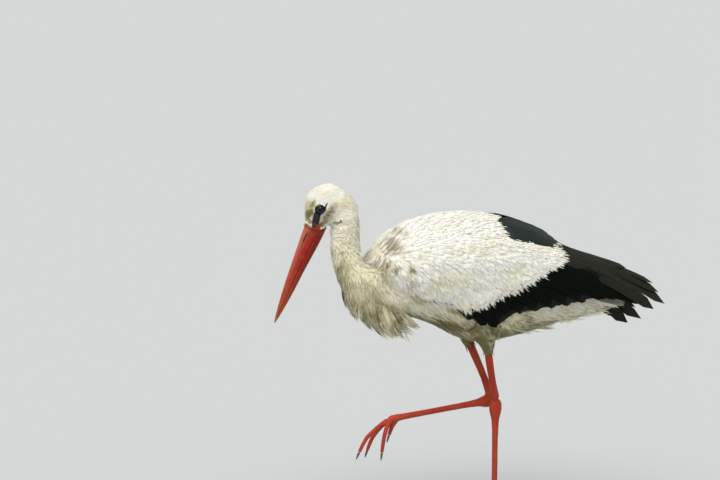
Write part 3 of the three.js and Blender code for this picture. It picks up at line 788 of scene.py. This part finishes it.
def march(start, length, turn, steps=5):
    """The line each feather follows over the hide from its root, with the hide's normal along it."""
    lines, normals = [], []
    here = start
    for step in range(steps + 1):
        found = [skin_tree.find_nearest(p) for p in here]
        spot = np.array([f[0] for f in found])
        corners = skin_faces[[f[2] for f in found]]
        normal = unit(skin_normal[corners].mean(axis=1))
        gone = np.array([f[3] for f in found])[:, None] > OFF_THE_EDGE * MM
        if step:
            normal = np.where(gone, normals[-1], normal)
            spot = np.where(gone, here, spot)
        lines.append(spot)
        normals.append(normal)
        way = coat_flow(spot)
        way = unit(way - (way * normal).sum(axis=1)[:, None] * normal)
        aside = np.cross(normal, way)
        way = way * np.cos(turn)[:, None] + aside * np.sin(turn)[:, None]
        if step:
            way = unit(way + STEADY * last)
        last = way
        here = spot + way * (length / steps)[:, None]
    return np.stack(lines, axis=1), np.stack(normals, axis=1)


LOCK_BODY = (0.42, 0.40)  # where along a lock its widest part starts, and how long that is
LOCK_OVERLAP = 1.3  # of the locks in one fan


def fan_of_locks(locks, ragged, rings, waist=0.3):
    """One feather's shape: for each corner its place along, across and over it, and the faces."""
    along, across, over, faces = [], [], [], []
    for i in range(locks):
        middle = (i / (locks - 1) * 2 - 1) if locks > 1 else 0.0
        middle += rng.uniform(-0.4, 0.4) / locks
        reach = 1 - 0.30 * middle**2 - rng.uniform(0, ragged)
        lift = rng.uniform(-0.5, 0.5)
        bend = rng.uniform(-0.12, 0.12)
        first = len(along)
        along.append(0.0)
        across.append(middle * 0.1)
        over.append(0.0)
        for ring in range(rings):
            t = LOCK_BODY[0] + LOCK_BODY[1] * ring / (rings - 1)
            wide = 1.0 - 0.25 * ring / (rings - 1)
            fan = waist + (1 - waist) * min(1.0, t / 0.75)
            for side, ridge in ((-1, 0.0), (1, 0.0), (0, 1.0)):
                along.append(t * reach)
                across.append(middle * fan + bend * t * t + side * wide * LOCK_OVERLAP / locks)
                over.append(ridge + lift * t)
        along.append(reach)
        across.append(middle * 0.94 + bend)
        over.append(lift)
        tip = first + 1 + 3 * rings
        for k in range(3):
            after = (k + 1) % 3
            faces.append((first, first + 1 + after, first + 1 + k))
            for low in range(first + 1, tip - 3, 3):
                faces.append((low + k, low + after, low + 3 + after))
                faces.append((low + k, low + 3 + after, low + 3 + k))
            faces.append((tip - 3 + k, tip - 3 + after, tip))
    return np.array(along), np.array(across), np.array(over), np.array(faces)


def mesh_of(name, points, faces):
    """A smooth mesh of faces that all have as many corners."""
    mesh = bpy.data.meshes.new(name)
    mesh.vertices.add(len(points))
    mesh.vertices.foreach_set("co", points.ravel())
    mesh.loops.add(faces.size)
    mesh.loops.foreach_set("vertex_index", faces.ravel())
    mesh.polygons.add(len(faces))
    mesh.polygons.foreach_set("loop_start", np.arange(0, faces.size, faces.shape[1]))
    mesh.polygons.foreach_set("use_smooth", np.ones(len(faces), dtype=bool))
    mesh.update()
    return mesh


BAKE_PATCH = 0.003  # of the unwrap, for one tuft
SOFT_SHARE, OWN_SHARE = 0.75, 0.45  # of the coat's even slope and the lock's own, in how it takes light


def lay_tufts(
    name, roots, root_uv, lines, normals, width, height, locks, ragged, paint, slot,
    thickness=0.55, sunk=0.5, rings=2, mottle=1.0,
):
    """A coat piece: a tuft along each line, rising to its height at the tip, lit as one soft surface."""
    count = len(roots)
    aside = unit(np.cross(normals, np.gradient(lines, axis=1)))
    # Dirt together with painted shade, and tan streaks, at each root.
    soil, tan = stains_and_shade(roots)
    tone = 0.5 + (rng.random(count) - 0.5) * mottle
    variants = [fan_of_locks(locks, ragged, rings) for _ in range(8)]
    chosen = rng.integers(0, len(variants), count)
    points, faces, uvs, soft, numbers = [], [], [], [], {"soil": [], "tan": [], "tone": [], "along": []}
    total = 0
    for kind, (along, across, over, shape) in enumerate(variants):
        mine = np.nonzero(chosen == kind)[0]
        if not len(mine):
            continue
        at = along * (lines.shape[1] - 1)
        low = np.minimum(at.astype(int), lines.shape[1] - 2)
        part = (at - low)[None, :, None]

        def at_corners(values):
            return values[mine][:, low] * (1 - part) + values[mine][:, low + 1] * part

        rise = (height[mine][:, None] + sunk) * along[None] ** 0.8 - sunk + thickness * over[None]
        upward = at_corners(normals)
        spots = at_corners(lines) + upward * (rise * MM)[..., None]
        spots += at_corners(aside) * (across[None] * width[mine][:, None] / 2 * MM)[..., None]
        points.append(spots.reshape(-1, 3))
        soft.append(unit(upward + at_corners(aside) * across[None, :, None] * 0.35).reshape(-1, 3))
        first = np.arange(len(mine)) * len(along)
        faces.append((shape[None] + first[:, None, None] + total).reshape(-1, 3))
        total += len(mine) * len(along)
        patch = np.stack((across * 0.5, along - 0.5), axis=1) * BAKE_PATCH
        uvs.append((root_uv[mine][:, None] + patch[None]).reshape(-1, 2))
        for key, values in (("soil", soil), ("tan", tan), ("tone", tone)):
            numbers[key].append(np.repeat(values[mine], len(along)))
        numbers["along"].append(np.tile(along, len(mine)))
    points, faces = np.concatenate(points), np.concatenate(faces)
    mesh = mesh_of(name, points, faces)
    own = from_mesh(mesh.vertices, "normal", 3)
    mesh.normals_split_custom_set_from_vertices(unit(np.concatenate(soft) * SOFT_SHARE + own * OWN_SHARE))
    uv = mesh.uv_layers.new(name="OFBake")
    uv.uv.foreach_set("vector", np.clip(np.concatenate(uvs)[faces.ravel()], 0, 1).ravel())
    set_numbers(mesh, **{key: np.concatenate(values) for key, values in numbers.items()})
    mesh.materials.append(paint)
    coat = new_object(name, mesh)
    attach(coat, "root")
    return coat


def grow(name, roots, root_uv, length, width, height, locks, ragged, paint, slot, turn=10.0, **shape):
    """Tufts that lie along the hide, one at each root."""
    lines, normals = march(roots, length * MM, np.radians(rng.normal(0, turn, len(roots))))
    return lay_tufts(name, roots, root_uv, lines, normals, width, height, locks, ragged, paint, slot, **shape)


def plumage_paint(name, clean):
    """White feather: dull, soft, with fine barbs as bump."""
    material, put = new_paint(name, 0.72, sheen_weight=0.12, sheen_roughness=0.5, specular_ior_level=0.25)
    plumage = put.group(plumage_effect, clean=clean, cream=WARM_CREAM, khaki=KHAKI_SOIL_AND_SHADE, rust=RUST)
    put.feed(plumage["Color"], put.shader["Base Color"])
    put.relief(put.noise(1600.0, 2.0), 0.0003, 0.5)
    return material


head_paint = plumage_paint("head_feathers", CLEAN_WHITE)
naked = np.maximum(skin_bare, skin_sheath)
on_head_skin = on_nodes(skin_node, "head") * (naked < 0.5)
roots, root_uv = scatter(on_head_skin, 1.9, clear=5.0)
head = in_head(roots)
from_bill = np.abs(head[:, 0] - sheath_edge(head[:, 1]))
from_eye = np.linalg.norm(head[:, :2] - np.array(EYE_PLACE[:2]), axis=1) - 6
size = smoothstep(0, 30, np.minimum(from_bill, from_eye))
forehead = inside_patches(head[:, :2], FOREHEAD_FLUFF)
grow(
    "head_coat", roots, root_uv, 3.6 + 6.6 * size + 2.5 * forehead, 2.0 + 2.0 * size,
    0.7 + 1.1 * size + 1.3 * forehead, 4, 0.3, head_paint, "head_plumage",
    turn=9, thickness=0.22, sunk=0.3, mottle=0.6,
)

# ---- Plumage of the neck: narrow, loose, hair-like feathers that hang in fine streaks ----
# They lengthen downwards, and part a little at the throat and where the neck bends into the back.
neck_paint = plumage_paint("neck_feathers", (0.86, 0.835, 0.74, 1))
on_neck = on_nodes(skin_node, "neck")
roots, root_uv = scatter(on_neck, 3.1, clear=4.0)
low = 1 - smoothstep(400, 500, roots[:, 2] / MM)
uneven = rng.uniform(0.75, 1.25, len(roots))
grow(
    "neck_coat", roots, root_uv, (15 + 11 * low) * uneven, 4.2 + 2.4 * low, (3.0 + 1.4 * low) * uneven,
    5, 0.4, neck_paint, "neck_plumage", turn=7, thickness=0.3, mottle=0.5,
)

# ---- Plumage of breast, back and belly: broad soft contour feathers with loose edges ----
# On the back they lie smooth; on breast and belly they are longer, fluffed, dirtied by wet ground and darkened
# below with painted shade.
body_paint = plumage_paint("body_feathers", CLEAN_WHITE)


def scapular_edge(points):
    """1 over most of the bird, and a half at the long black scapulars, whose front must stay clear."""
    y, z = points[:, 1] / MM, points[:, 2] / MM
    inside = np.minimum(y + 16, (y - 12) * 0.25 + (z - 504) * 0.968 + 8)
    return 1 - 0.5 * smoothstep(-6, 6, inside)


for name, nodes, spacing in (
    ("breast_coat", ("breast",), 4.0), ("back_and_belly_coat", ("trunk", "rump"), 4.3),
):
    roots, root_uv = scatter(on_nodes(skin_node, *nodes), spacing, clear=5.0)
    belly = 1 - smoothstep(345, 430, roots[:, 2] / MM)
    uneven = rng.uniform(0.75, 1.3, len(roots)) * scapular_edge(roots)
    grow(
        name, roots, root_uv, (24 + 13 * belly) * uneven, 8.0 + 3.0 * belly, (3.9 + 2.6 * belly) * uneven,
        6, 0.38, body_paint, "body_plumage", turn=6, thickness=0.38,
    )
on_thigh = on_nodes(skin_node, "thigh")
roots, root_uv = scatter(on_thigh, 3.4, clear=6.0)
uneven = rng.uniform(0.8, 1.2, len(roots))
grow(
    "thigh_coat", roots, root_uv, 19 * uneven, np.full(len(roots), 6.0), 3.4 * uneven, 5, 0.4, body_paint,
    "body_plumage", turn=8, thickness=0.35,
)

# ---- Hackles: long narrow plumes that hang from the foot of the neck over the breast ----
# They part into wet-looking points, the lowest swing free of the breast, and all are stained yellowish and
# darkened with painted shade.
HACKLE_TIPS = (  # y and z of the points in which the plumes gather, from the throat back
    (-246, 372), (-240, 360), (-212, 341), (-187, 327), (-172, 327), (-157, 322), (-141, 334), (-130, 347),
)
HACKLE_BED = ((-266, -176), 345, 46)  # front and back (y), lowest (z) and half width of where they grow
BED_TOP = (432, 408)  # its top (z) at the throat, and behind y -236
# The plumes' yellowish stain, made darker as painted shade under the neck.
hackle_paint = plumage_paint("hackle_feathers", (0.62, 0.58, 0.40, 1))
roots, root_uv = scatter(on_nodes(skin_node, "breast", "neck_lower"), 4.0, clear=2.0)
spots = roots / MM
(bed_front, bed_back), bed_low, bed_half = HACKLE_BED
hang_here = (spots[:, 1] > bed_front) & (spots[:, 1] < bed_back) & (spots[:, 2] > bed_low)
hang_here &= (np.abs(spots[:, 0]) < bed_half) & (spots[:, 2] < np.where(spots[:, 1] < -236, *BED_TOP))
roots, root_uv, spots = roots[hang_here], root_uv[hang_here], spots[hang_here]
order = np.clip((spots[:, 1] + 256) / 72 * 7 + rng.normal(0, 0.7, len(roots)), 0, 7)
gathered = np.round(order) + 0.25 * (order - np.round(order))
tip_y, tip_z = np.array(HACKLE_TIPS).T
shorter = rng.random(len(roots)) ** 1.6 * 0.32
tips = np.stack((
    spots[:, 0] * 0.5 + rng.normal(0, 2.0, len(roots)),
    np.interp(gathered, np.arange(8), tip_y) + rng.normal(0, 1.6, len(roots)),
    np.interp(gathered, np.arange(8), tip_z) + rng.normal(0, 1.6, len(roots)),
), axis=1)
tips = (tips + (spots - tips) * shorter[:, None]) * MM
outward = np.array([skin_tree.find_nearest(p)[1] for p in roots])
outward[:, 0] *= 1.4
outward = unit(outward)
bow = (roots + tips) / 2 + outward * (6.0 * MM) + np.array([0, -1.5, -2.5]) * MM
t = np.linspace(0, 1, 8)[None, :, None]
lines = roots[:, None] * (1 - t) ** 2 + bow[:, None] * 2 * t * (1 - t) + tips[:, None] * t**2
ways = unit(np.gradient(lines, axis=1))
normals = np.repeat(outward[:, None], 8, axis=1)
normals = unit(normals - (normals * ways).sum(axis=2, keepdims=True) * ways)
plume = np.linalg.norm(tips - roots, axis=1) / MM
hackles = lay_tufts(
    "hackle_plumes", roots, root_uv, lines, normals, np.clip(plume * 0.14, 4, 9), np.full(len(roots), 1.6),
    5, 0.4, hackle_paint, "neck_plumage", thickness=0.4, sunk=1.0, rings=4,
)
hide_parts("breast_hackles")

# ---- Coverts: the small white feathers over the folded wings, in rows like tiles ----
# Their lowest row ends in a fringe of points over the black flight feathers. The right wing hangs lower.
RIGHT_DROOP = 31.0  # of the right wing's tips, in mm
BLACK_LINE = ((-80, 388), (-0.376, 0.927))  # y, z of a place where white meets black, and the way up from it
COVERTS_BACK = 92  # how far back the white reaches at the wing's top


def covert_edge(points, side):
    """How far, in mm, places of the wing lie above the line where white turns to black."""
    y, z = points[:, 1] / MM, points[:, 2] / MM
    if side == "right":
        z = z + RIGHT_DROOP * smoothstep(0, 1, (y - 40) / 240)
    (start_y, start_z), (up_y, up_z) = BLACK_LINE
    return (y - start_y) * up_y + (z - start_z) * up_z


for side in ("left", "right"):
    on_coverts = on_nodes(skin_node, f"wing_{side}_coverts")
    roots, root_uv = scatter(on_coverts, 4.0, clear=8.0)
    uneven = rng.uniform(0.75, 1.25, len(roots)) * scapular_edge(roots)
    above_black = np.minimum(covert_edge(roots, side), COVERTS_BACK - roots[:, 1] / MM)
    fringe = 1 - smoothstep(12, 32, above_black)
    grow(
        f"coverts_{side}", roots, root_uv, (24 - 4 * fringe) * uneven, 8.0 - 2.5 * fringe,
        3.8 * uneven + 2.6 * fringe, 6, 0.36, body_paint, "wing_coverts", turn=5, thickness=0.36,
    )
    above_black = np.minimum(covert_edge(skin_co, side), COVERTS_BACK - skin_co[:, 1] / MM)
    roots, root_uv = scatter(on_coverts * (above_black < 16), 2.7, clear=4.0)
    uneven = rng.uniform(0.7, 1.2, len(roots))
    grow(
        f"fringe_{side}", roots, root_uv, 19 * uneven, np.full(len(roots), 4.6), 4.4 + 3.0 * uneven,
        4, 0.5, body_paint, "wing_coverts", turn=10, thickness=0.4,
    )

# ---- Flight feathers: the long black vanes of the folded wings, laid over each other like tiles ----
# Each is one stiff vane on a slender shaft, blunt at the tip. The innermost lie on top and the outermost
# reach past the tail. Their edges are worn brownish, and the right wing hangs a little lower.
SECONDARIES = (  # root, middle and tip (y, z), and half width, in mm; the front and lowest come first
    ((-98, 402), (-80, 384), (-59, 367), 11), ((-90, 416), (-66, 386), (-43, 358), 12),
    ((-80, 424), (-50, 388), (-25, 353), 12), ((-70, 432), (-36, 394), (-8, 360), 13),
    ((-62, 438), (-24, 402), (8, 371), 13), ((-52, 442), (-8, 406), (31, 374), 13),
    ((-40, 446), (12, 410), (60, 376), 13), ((-28, 450), (34, 414), (91, 379), 13),
    ((-12, 454), (58, 418), (121, 380), 13), ((4, 458), (82, 422), (151, 382), 13),
    ((20, 460), (106, 424), (180, 387), 13), ((34, 462), (128, 424), (206, 385), 13),
    ((48, 462), (146, 422), (232, 381), 12), ((58, 462), (158, 420), (254, 372), 12),
)
GREATER_COVERTS = (
    ((-86, 410), (-70, 394), (-52, 380), 9), ((-76, 418), (-54, 396), (-31, 378), 9),
    ((-64, 426), (-36, 404), (-10, 386), 10), ((-50, 432), (-18, 412), (12, 395), 10),
    ((-36, 438), (0, 418), (36, 402), 10), ((-20, 444), (20, 426), (60, 410), 10),
    ((-2, 450), (42, 432), (84, 416), 10), ((18, 456), (62, 438), (106, 423), 10),
    ((38, 462), (84, 444), (128, 430), 10),
)
TERTIALS = (
    ((66, 458), (166, 425), (271, 362), 11), ((70, 466), (176, 436), (295, 367), 11),
    ((68, 472), (170, 441), (284, 387), 9), ((64, 480), (170, 446), (275, 401), 8),
    ((58, 486), (150, 455), (226, 429), 8),
)
SCAPULARS = (
    ((-6, 499), (40, 494), (108, 471), 10), ((-10, 507), (38, 501), (104, 475), 11),
    ((-12, 515), (36, 507), (98, 480), 11), ((-12, 520), (32, 513), (88, 487), 11),
)
RIGHT_SHORTER = 24  # mm that the right wing's tips end before the left one's
OUTSIDE, ACROSS = 0.3, 0.285  # in metres: where a line to the hide starts beside the bird, and its reach
vane_rng = np.random.default_rng(11)


def vane_line(side, root, middle, tip, steps=14):
    """A feather's shaft over the folded wing, running on straight past its edge, and its outward side."""
    sign = 1 if side == "left" else -1
    t = np.linspace(0, 1, steps + 1)[:, None]
    root, middle, tip = (np.array(p, dtype=float) for p in (root, middle, tip))
    flat = root * (1 - t) ** 2 + (2 * middle - (root + tip) / 2) * 2 * t * (1 - t) + tip * t**2
    if side == "right":
        flat[:, 1] -= RIGHT_DROOP * smoothstep(0, 1, (flat[:, 0] - 40) / 240)
        flat[:, 0] -= RIGHT_SHORTER * smoothstep(0, 1, (flat[:, 0] - 150) / 140)
    sideways, outward = np.full(steps + 1, np.nan), np.zeros((steps + 1, 3))
    for k, (y, z) in enumerate(flat):
        beside = Vector((sign * OUTSIDE, y * MM, z * MM))
        hit, normal, _, _ = skin_tree.ray_cast(beside, Vector((-sign, 0, 0)), ACROSS)
        if hit is not None and normal.x * sign > 0.12:
            sideways[k], outward[k] = hit.x / MM, normal
    known = np.nonzero(~np.isnan(sideways))[0]
    if not len(known):
        sideways[:], outward[:] = sign * 22.0, (sign, 0, 0.1)
    else:
        last = known[-1]
        sideways[: known[0]] = sideways[known[0]]
        sideways = np.interp(np.arange(steps + 1), known, sideways[known])
        beyond = np.arange(steps + 1) > last
        past = (flat[:, 0] - flat[last, 0]) * beyond
        sideways = np.where(beyond, sideways[last] - sign * 0.10 * np.maximum(past, 0), sideways)
        sideways = sign * np.maximum(sign * sideways, np.where(beyond, 15.0, 4.0))
        for axis in range(3):
            outward[:, axis] = np.interp(np.arange(steps + 1), known, outward[known, axis])
    line = np.column_stack((sideways, flat))
    for _ in range(4):
        line[1:-1, 0] = (line[:-2, 0] + 2 * line[1:-1, 0] + line[2:, 0]) / 4
        outward[1:-1] = (outward[:-2] + 2 * outward[1:-1] + outward[2:]) / 4
    return line * MM, unit(outward * 0.7 + np.array([sign * 0.3, 0, 0.05]))


QUILL_DEPTH = 5.0  # how deep the roots go into the wing under the coverts


def vane(
    line, outward, half_width, lift, tilt,
    blunt=0.5, camber=0.9, thickness=0.55, leading=0.55, quill=0.34, across=11,
):
    """One closed vane over its shaft line: points, faces, and for each point its place along and across."""
    steps = len(line) - 1
    tangent = unit(np.gradient(line, axis=0))
    out = unit(outward - (outward * tangent).sum(axis=1)[:, None] * tangent)
    aside = np.cross(tangent, out)
    t = np.linspace(0, 1, steps + 1)
    shape = np.minimum(1, (t / 0.18) ** 0.6) * (1 - 0.12 * t)
    end = np.clip((1 - t) / (0.10 + 0.12 * blunt), 0, 1)
    width = half_width * shape * np.sqrt(1 - (1 - end) ** 2)
    width[-1] = half_width * 0.06
    u = np.linspace(-1, 1, across)
    ragged = 1 + vane_rng.normal(0, 0.03, (steps + 1, across)) * (np.abs(u) > 0.99)
    share = np.where(u < 0, 2 * leading, 2 * (1 - leading))
    side_place = width[:, None] * u * share * ragged
    arch = camber * (1 - u**2)[None] * np.minimum(1, width / half_width)[:, None]
    buried = QUILL_DEPTH * (1 - smoothstep(0.0, quill, t))[:, None]
    rise = lift + tilt * u[None] * np.ones((steps + 1, 1)) + arch - buried
    shaft = 0.5 * np.exp(-((u / 0.12) ** 2))[None] * (1 - 0.7 * t[:, None])
    top = line[:, None] + aside[:, None] * (side_place * MM)[..., None]
    top = top + out[:, None] * ((rise + shaft) * MM)[..., None]
    under = thickness * (1 - 0.85 * u**2)[None] + shaft + 0.08
    points = np.concatenate((top.reshape(-1, 3), (top - out[:, None] * under[..., None] * MM).reshape(-1, 3)))
    i, j = np.meshgrid(np.arange(steps), np.arange(across - 1), indexing="ij")
    here = (i * across + j).ravel()
    upper = np.stack((here, here + 1, here + across + 1, here + across), axis=1)
    lower = upper[:, ::-1] + (steps + 1) * across
    edge = np.concatenate((
        np.arange(across), np.arange(2, steps + 2) * across - 1,
        np.arange((steps + 1) * across - 2, steps * across - 1, -1), np.arange(steps - 1, -1, -1) * across,
    ))
    below = edge + (steps + 1) * across
    rim = np.stack((edge[1:], edge[:-1], below[:-1], below[1:]), axis=1)
    faces = np.concatenate((upper, lower, rim))
    return points, faces, np.tile(np.repeat(t, across), 2), np.tile(u, 2 * (steps + 1))


def vane_piece(name, vanes, paint, nodes=()):
    """Many vanes as one piece; each has its own cell of the bake map, upper face beside lower."""
    points, faces, numbers, uvs, total = [], [], {"along": [], "across": [], "tone": [], "length": []}, [], 0
    cells = math.ceil(math.sqrt(len(vanes)))
    for index, (line, outward, settings) in enumerate(vanes):
        p, f, along, aside = vane(line, outward, **settings)
        points.append(p)
        faces.append(f + total)
        total += len(p)
        numbers["along"].append(along)
        numbers["across"].append(aside)
        numbers["tone"].append(np.full(len(p), vane_rng.random()))
        numbers["length"].append(np.full(len(p), np.linalg.norm(np.diff(line, axis=0), axis=1).sum() / MM))
        under = np.repeat([0.0, 1.0], len(p) // 2)
        u = (index % cells + 0.04 + (aside * 0.5 + 0.5) * 0.42 + under * 0.5) / cells
        v = (index // cells + 0.04 + along * 0.92) / cells
        uvs.append(np.stack((u, v), axis=1))
    points, faces = np.concatenate(points), np.concatenate(faces)
    mesh = mesh_of(name, points, faces)
    uv = mesh.uv_layers.new(name="OFBake")
    uv.uv.foreach_set("vector", np.concatenate(uvs)[faces.ravel()].ravel())
    mesh.validate()
    set_numbers(mesh, **{key: np.concatenate(values) for key, values in numbers.items()})
    mesh.materials.append(paint)
    piece = new_object(name, mesh)
    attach(piece, "root")
    if nodes:
        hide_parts(*nodes)
    return piece


# Barbs: fine lines at a slant to the shaft, with a mask for the worn rim of the vane.
barb_effect, put, given, result = new_effect(
    "barbs", {"Fineness": "NodeSocketFloat"}, {"Height": "NodeSocketFloat", "Edge": "NodeSocketFloat"}
)
along, across, length, tone = (put.number(n) for n in ("along", "across", "length", "tone"))
slant = put.sum("MULTIPLY", put.sum("ABSOLUTE", across), -9.0)
place = put.put("ShaderNodeCombineXYZ", {
    "X": put.sum("ADD", put.sum("MULTIPLY", along, length), slant),
    "Y": put.sum("MULTIPLY", tone, 37.0),
    "Z": put.sum("MULTIPLY", across, 1.2),
})
fine = put.put(
    "ShaderNodeTexNoise", {"Vector": place.outputs[0], "Scale": given["Fineness"], "Detail": 3.0}
).outputs["Fac"]
put.feed(fine, result["Height"])
rim = put.sum("ADD", put.span(put.sum("ABSOLUTE", across), 0.72, 1.0), put.span(along, 0.9, 1.0))
put.feed(put.sum("MULTIPLY", rim, put.span(fine, 0.35, 0.65)), result["Edge"])


def vane_paint(name, base, worn, wear, roughness, shine=0.3):
    """Vane of barbs at a slant to the shaft, with worn edges and a shaft of another tone."""
    material, put = new_paint(name, roughness, specular_ior_level=shine)
    barbs = put.group(barb_effect, fineness=put.sum("ADD", put.number("tone"), 0.7))
    colour = put.mix(put.span(barbs["Height"], 0.3, 0.7, 0.0, 0.5), base, worn)
    colour = put.mix(put.sum("MULTIPLY", put.number("tone"), 0.3), colour, worn)
    colour = put.mix(put.sum("MULTIPLY", barbs["Edge"], wear), colour, worn)
    shaft = put.span(put.sum("ABSOLUTE", put.number("across")), 0.02, 0.09, 0.4, 0.0)
    put.feed(put.mix(shaft, colour, worn), put.shader["Base Color"])
    put.feed(put.span(barbs["Height"], 0.3, 0.7, roughness - 0.08, roughness + 0.12), put.shader["Roughness"])
    put.relief(barbs["Height"], 0.0006, 0.6)
    return material


flight_paint = vane_paint(
    "flight_black", (0.0012, 0.0026, 0.0010, 1), (0.0038, 0.0052, 0.0030, 1),
    wear=0.6, roughness=0.6, shine=0.04,
)
tertial_paint = vane_paint(
    "tertial_black", (0.0030, 0.0060, 0.0040, 1), (0.030, 0.029, 0.018, 1),
    wear=0.9, roughness=0.5, shine=0.10,
)
scapular_paint = vane_paint(
    "scapular_black", (0.0060, 0.0105, 0.0080, 1), (0.016, 0.022, 0.018, 1),
    wear=0.5, roughness=0.42, shine=0.26,
)


def laid(side, rows, start, lift_step, tilt=0.7, blunt=0.6, **shape):
    """Vanes for rows of root, middle, tip and half width, each laid a little higher than the one before."""
    sign = 1 if side == "left" else -1
    return [
        (*vane_line(side, *row[:3]), {
            "half_width": row[3], "lift": start + lift_step * index, "tilt": sign * tilt, "blunt": blunt,
            **shape,
        })
        for index, row in enumerate(rows)
    ]


for side, scapular_lift in (("left", 2.8), ("right", 3.4)):
    vane_piece(
        f"flight_{side}", laid(side, SECONDARIES, 1.9, 0.10, quill=0.45),
        flight_paint, (f"wing_{side}_primaries",),
    )
    vane_piece(
        f"black_coverts_{side}", laid(side, GREATER_COVERTS, 2.2, 0.06, camber=0.7, quill=0.72),
        flight_paint,
    )
    vane_piece(
        f"tertials_{side}", laid(side, TERTIALS, 3.0, 0.3, blunt=0.15, camber=1.1, quill=0.22),
        tertial_paint,
    )
    vane_piece(
        f"scapulars_{side}", laid(side, SCAPULARS, scapular_lift, 0.4, blunt=0.5, camber=1.2, quill=0.14),
        scapular_paint,
    )

# ---- Tail: twelve white feathers under the folded wings, and the loose coverts below them ----
# Each is a stiff vane like the flight feathers; the under-tail coverts are soft and ragged, cream darkened with
# painted shade.
TAIL_ROOT, TAIL_TIP = (52, 412), (231, 371)  # y, z of the middle pair
TAIL_HALF_WIDTH = (7, 21)  # at root and tip
tail_paint = vane_paint("tail_white", (0.55, 0.53, 0.44, 1), (0.42, 0.39, 0.28, 1), 0.6, 0.6)
tail_vanes = []
for index in (0, 11, 1, 10, 2, 9, 3, 8, 4, 7, 5, 6):  # the middle pair lies on top
    spread = (index - 5.5) / 5.5
    t = np.linspace(0, 1, 15)[:, None]
    start = np.array([spread * TAIL_HALF_WIDTH[0], *TAIL_ROOT])
    end = np.array([spread * TAIL_HALF_WIDTH[1], TAIL_TIP[0] - 7 * abs(spread), TAIL_TIP[1]])
    line = (start * (1 - t) + end * t + np.array([0, 0, 4.0]) * np.sin(np.pi * t)) * MM
    tail_vanes.append((line, np.tile([spread * 0.3, 0.0, 1.0], (15, 1)), {
        "half_width": 10, "lift": 1.6 - abs(spread) * 5, "tilt": 0.0, "blunt": 0.9,
    }))
vane_piece("tail_vanes", tail_vanes, tail_paint, ("tail",))
LOWER_EDGE = (  # y, z where the ragged tips end
    (50, 322), (75, 336), (105, 336), (131, 345), (165, 352), (205, 356),
)
# Cream of the under-tail coverts, darkened as painted shade beneath the body.
vent_paint = plumage_paint("under_tail_feathers", (0.60, 0.58, 0.46, 1))
count = 130  # under-tail coverts
tip_y = 62 + 150 * rng.random(count) ** 0.9
edge_y, edge_z = np.array(LOWER_EDGE).T
tip_z = np.interp(tip_y, edge_y, edge_z) + rng.random(count) ** 1.3 * 20 - 3
reach_back = rng.uniform(38, 56, count)
tips = np.stack((rng.uniform(-1, 1, count) * (27 - tip_y * 0.04), tip_y, tip_z), axis=1)
roots = tips + np.stack((tips[:, 0] * -0.15, -reach_back, rng.uniform(8, 15, count)), axis=1)
roots, tips = roots * MM, tips * MM
t = np.linspace(0, 1, 7)[None, :, None]
lines = roots[:, None] * (1 - t) + tips[:, None] * t + np.array([0, 0, -3.0]) * MM * np.sin(np.pi * t)
outward = np.stack((tips[:, 0] / MM * 0.05, np.zeros(count), np.full(count, -0.8)), axis=1)
ways = unit(np.gradient(lines, axis=1))
normals = unit(outward[:, None] - (outward[:, None] * ways).sum(axis=2, keepdims=True) * ways)
root_uv = np.array([skin_uv[skin_tree.find_nearest(p)[2]].mean(axis=0) for p in roots])
lay_tufts(
    "under_tail_coverts", roots, root_uv, lines, normals, rng.uniform(11, 16, count), np.full(count, 1.5),
    9, 0.6, vent_paint, "body_plumage", thickness=0.5,
)
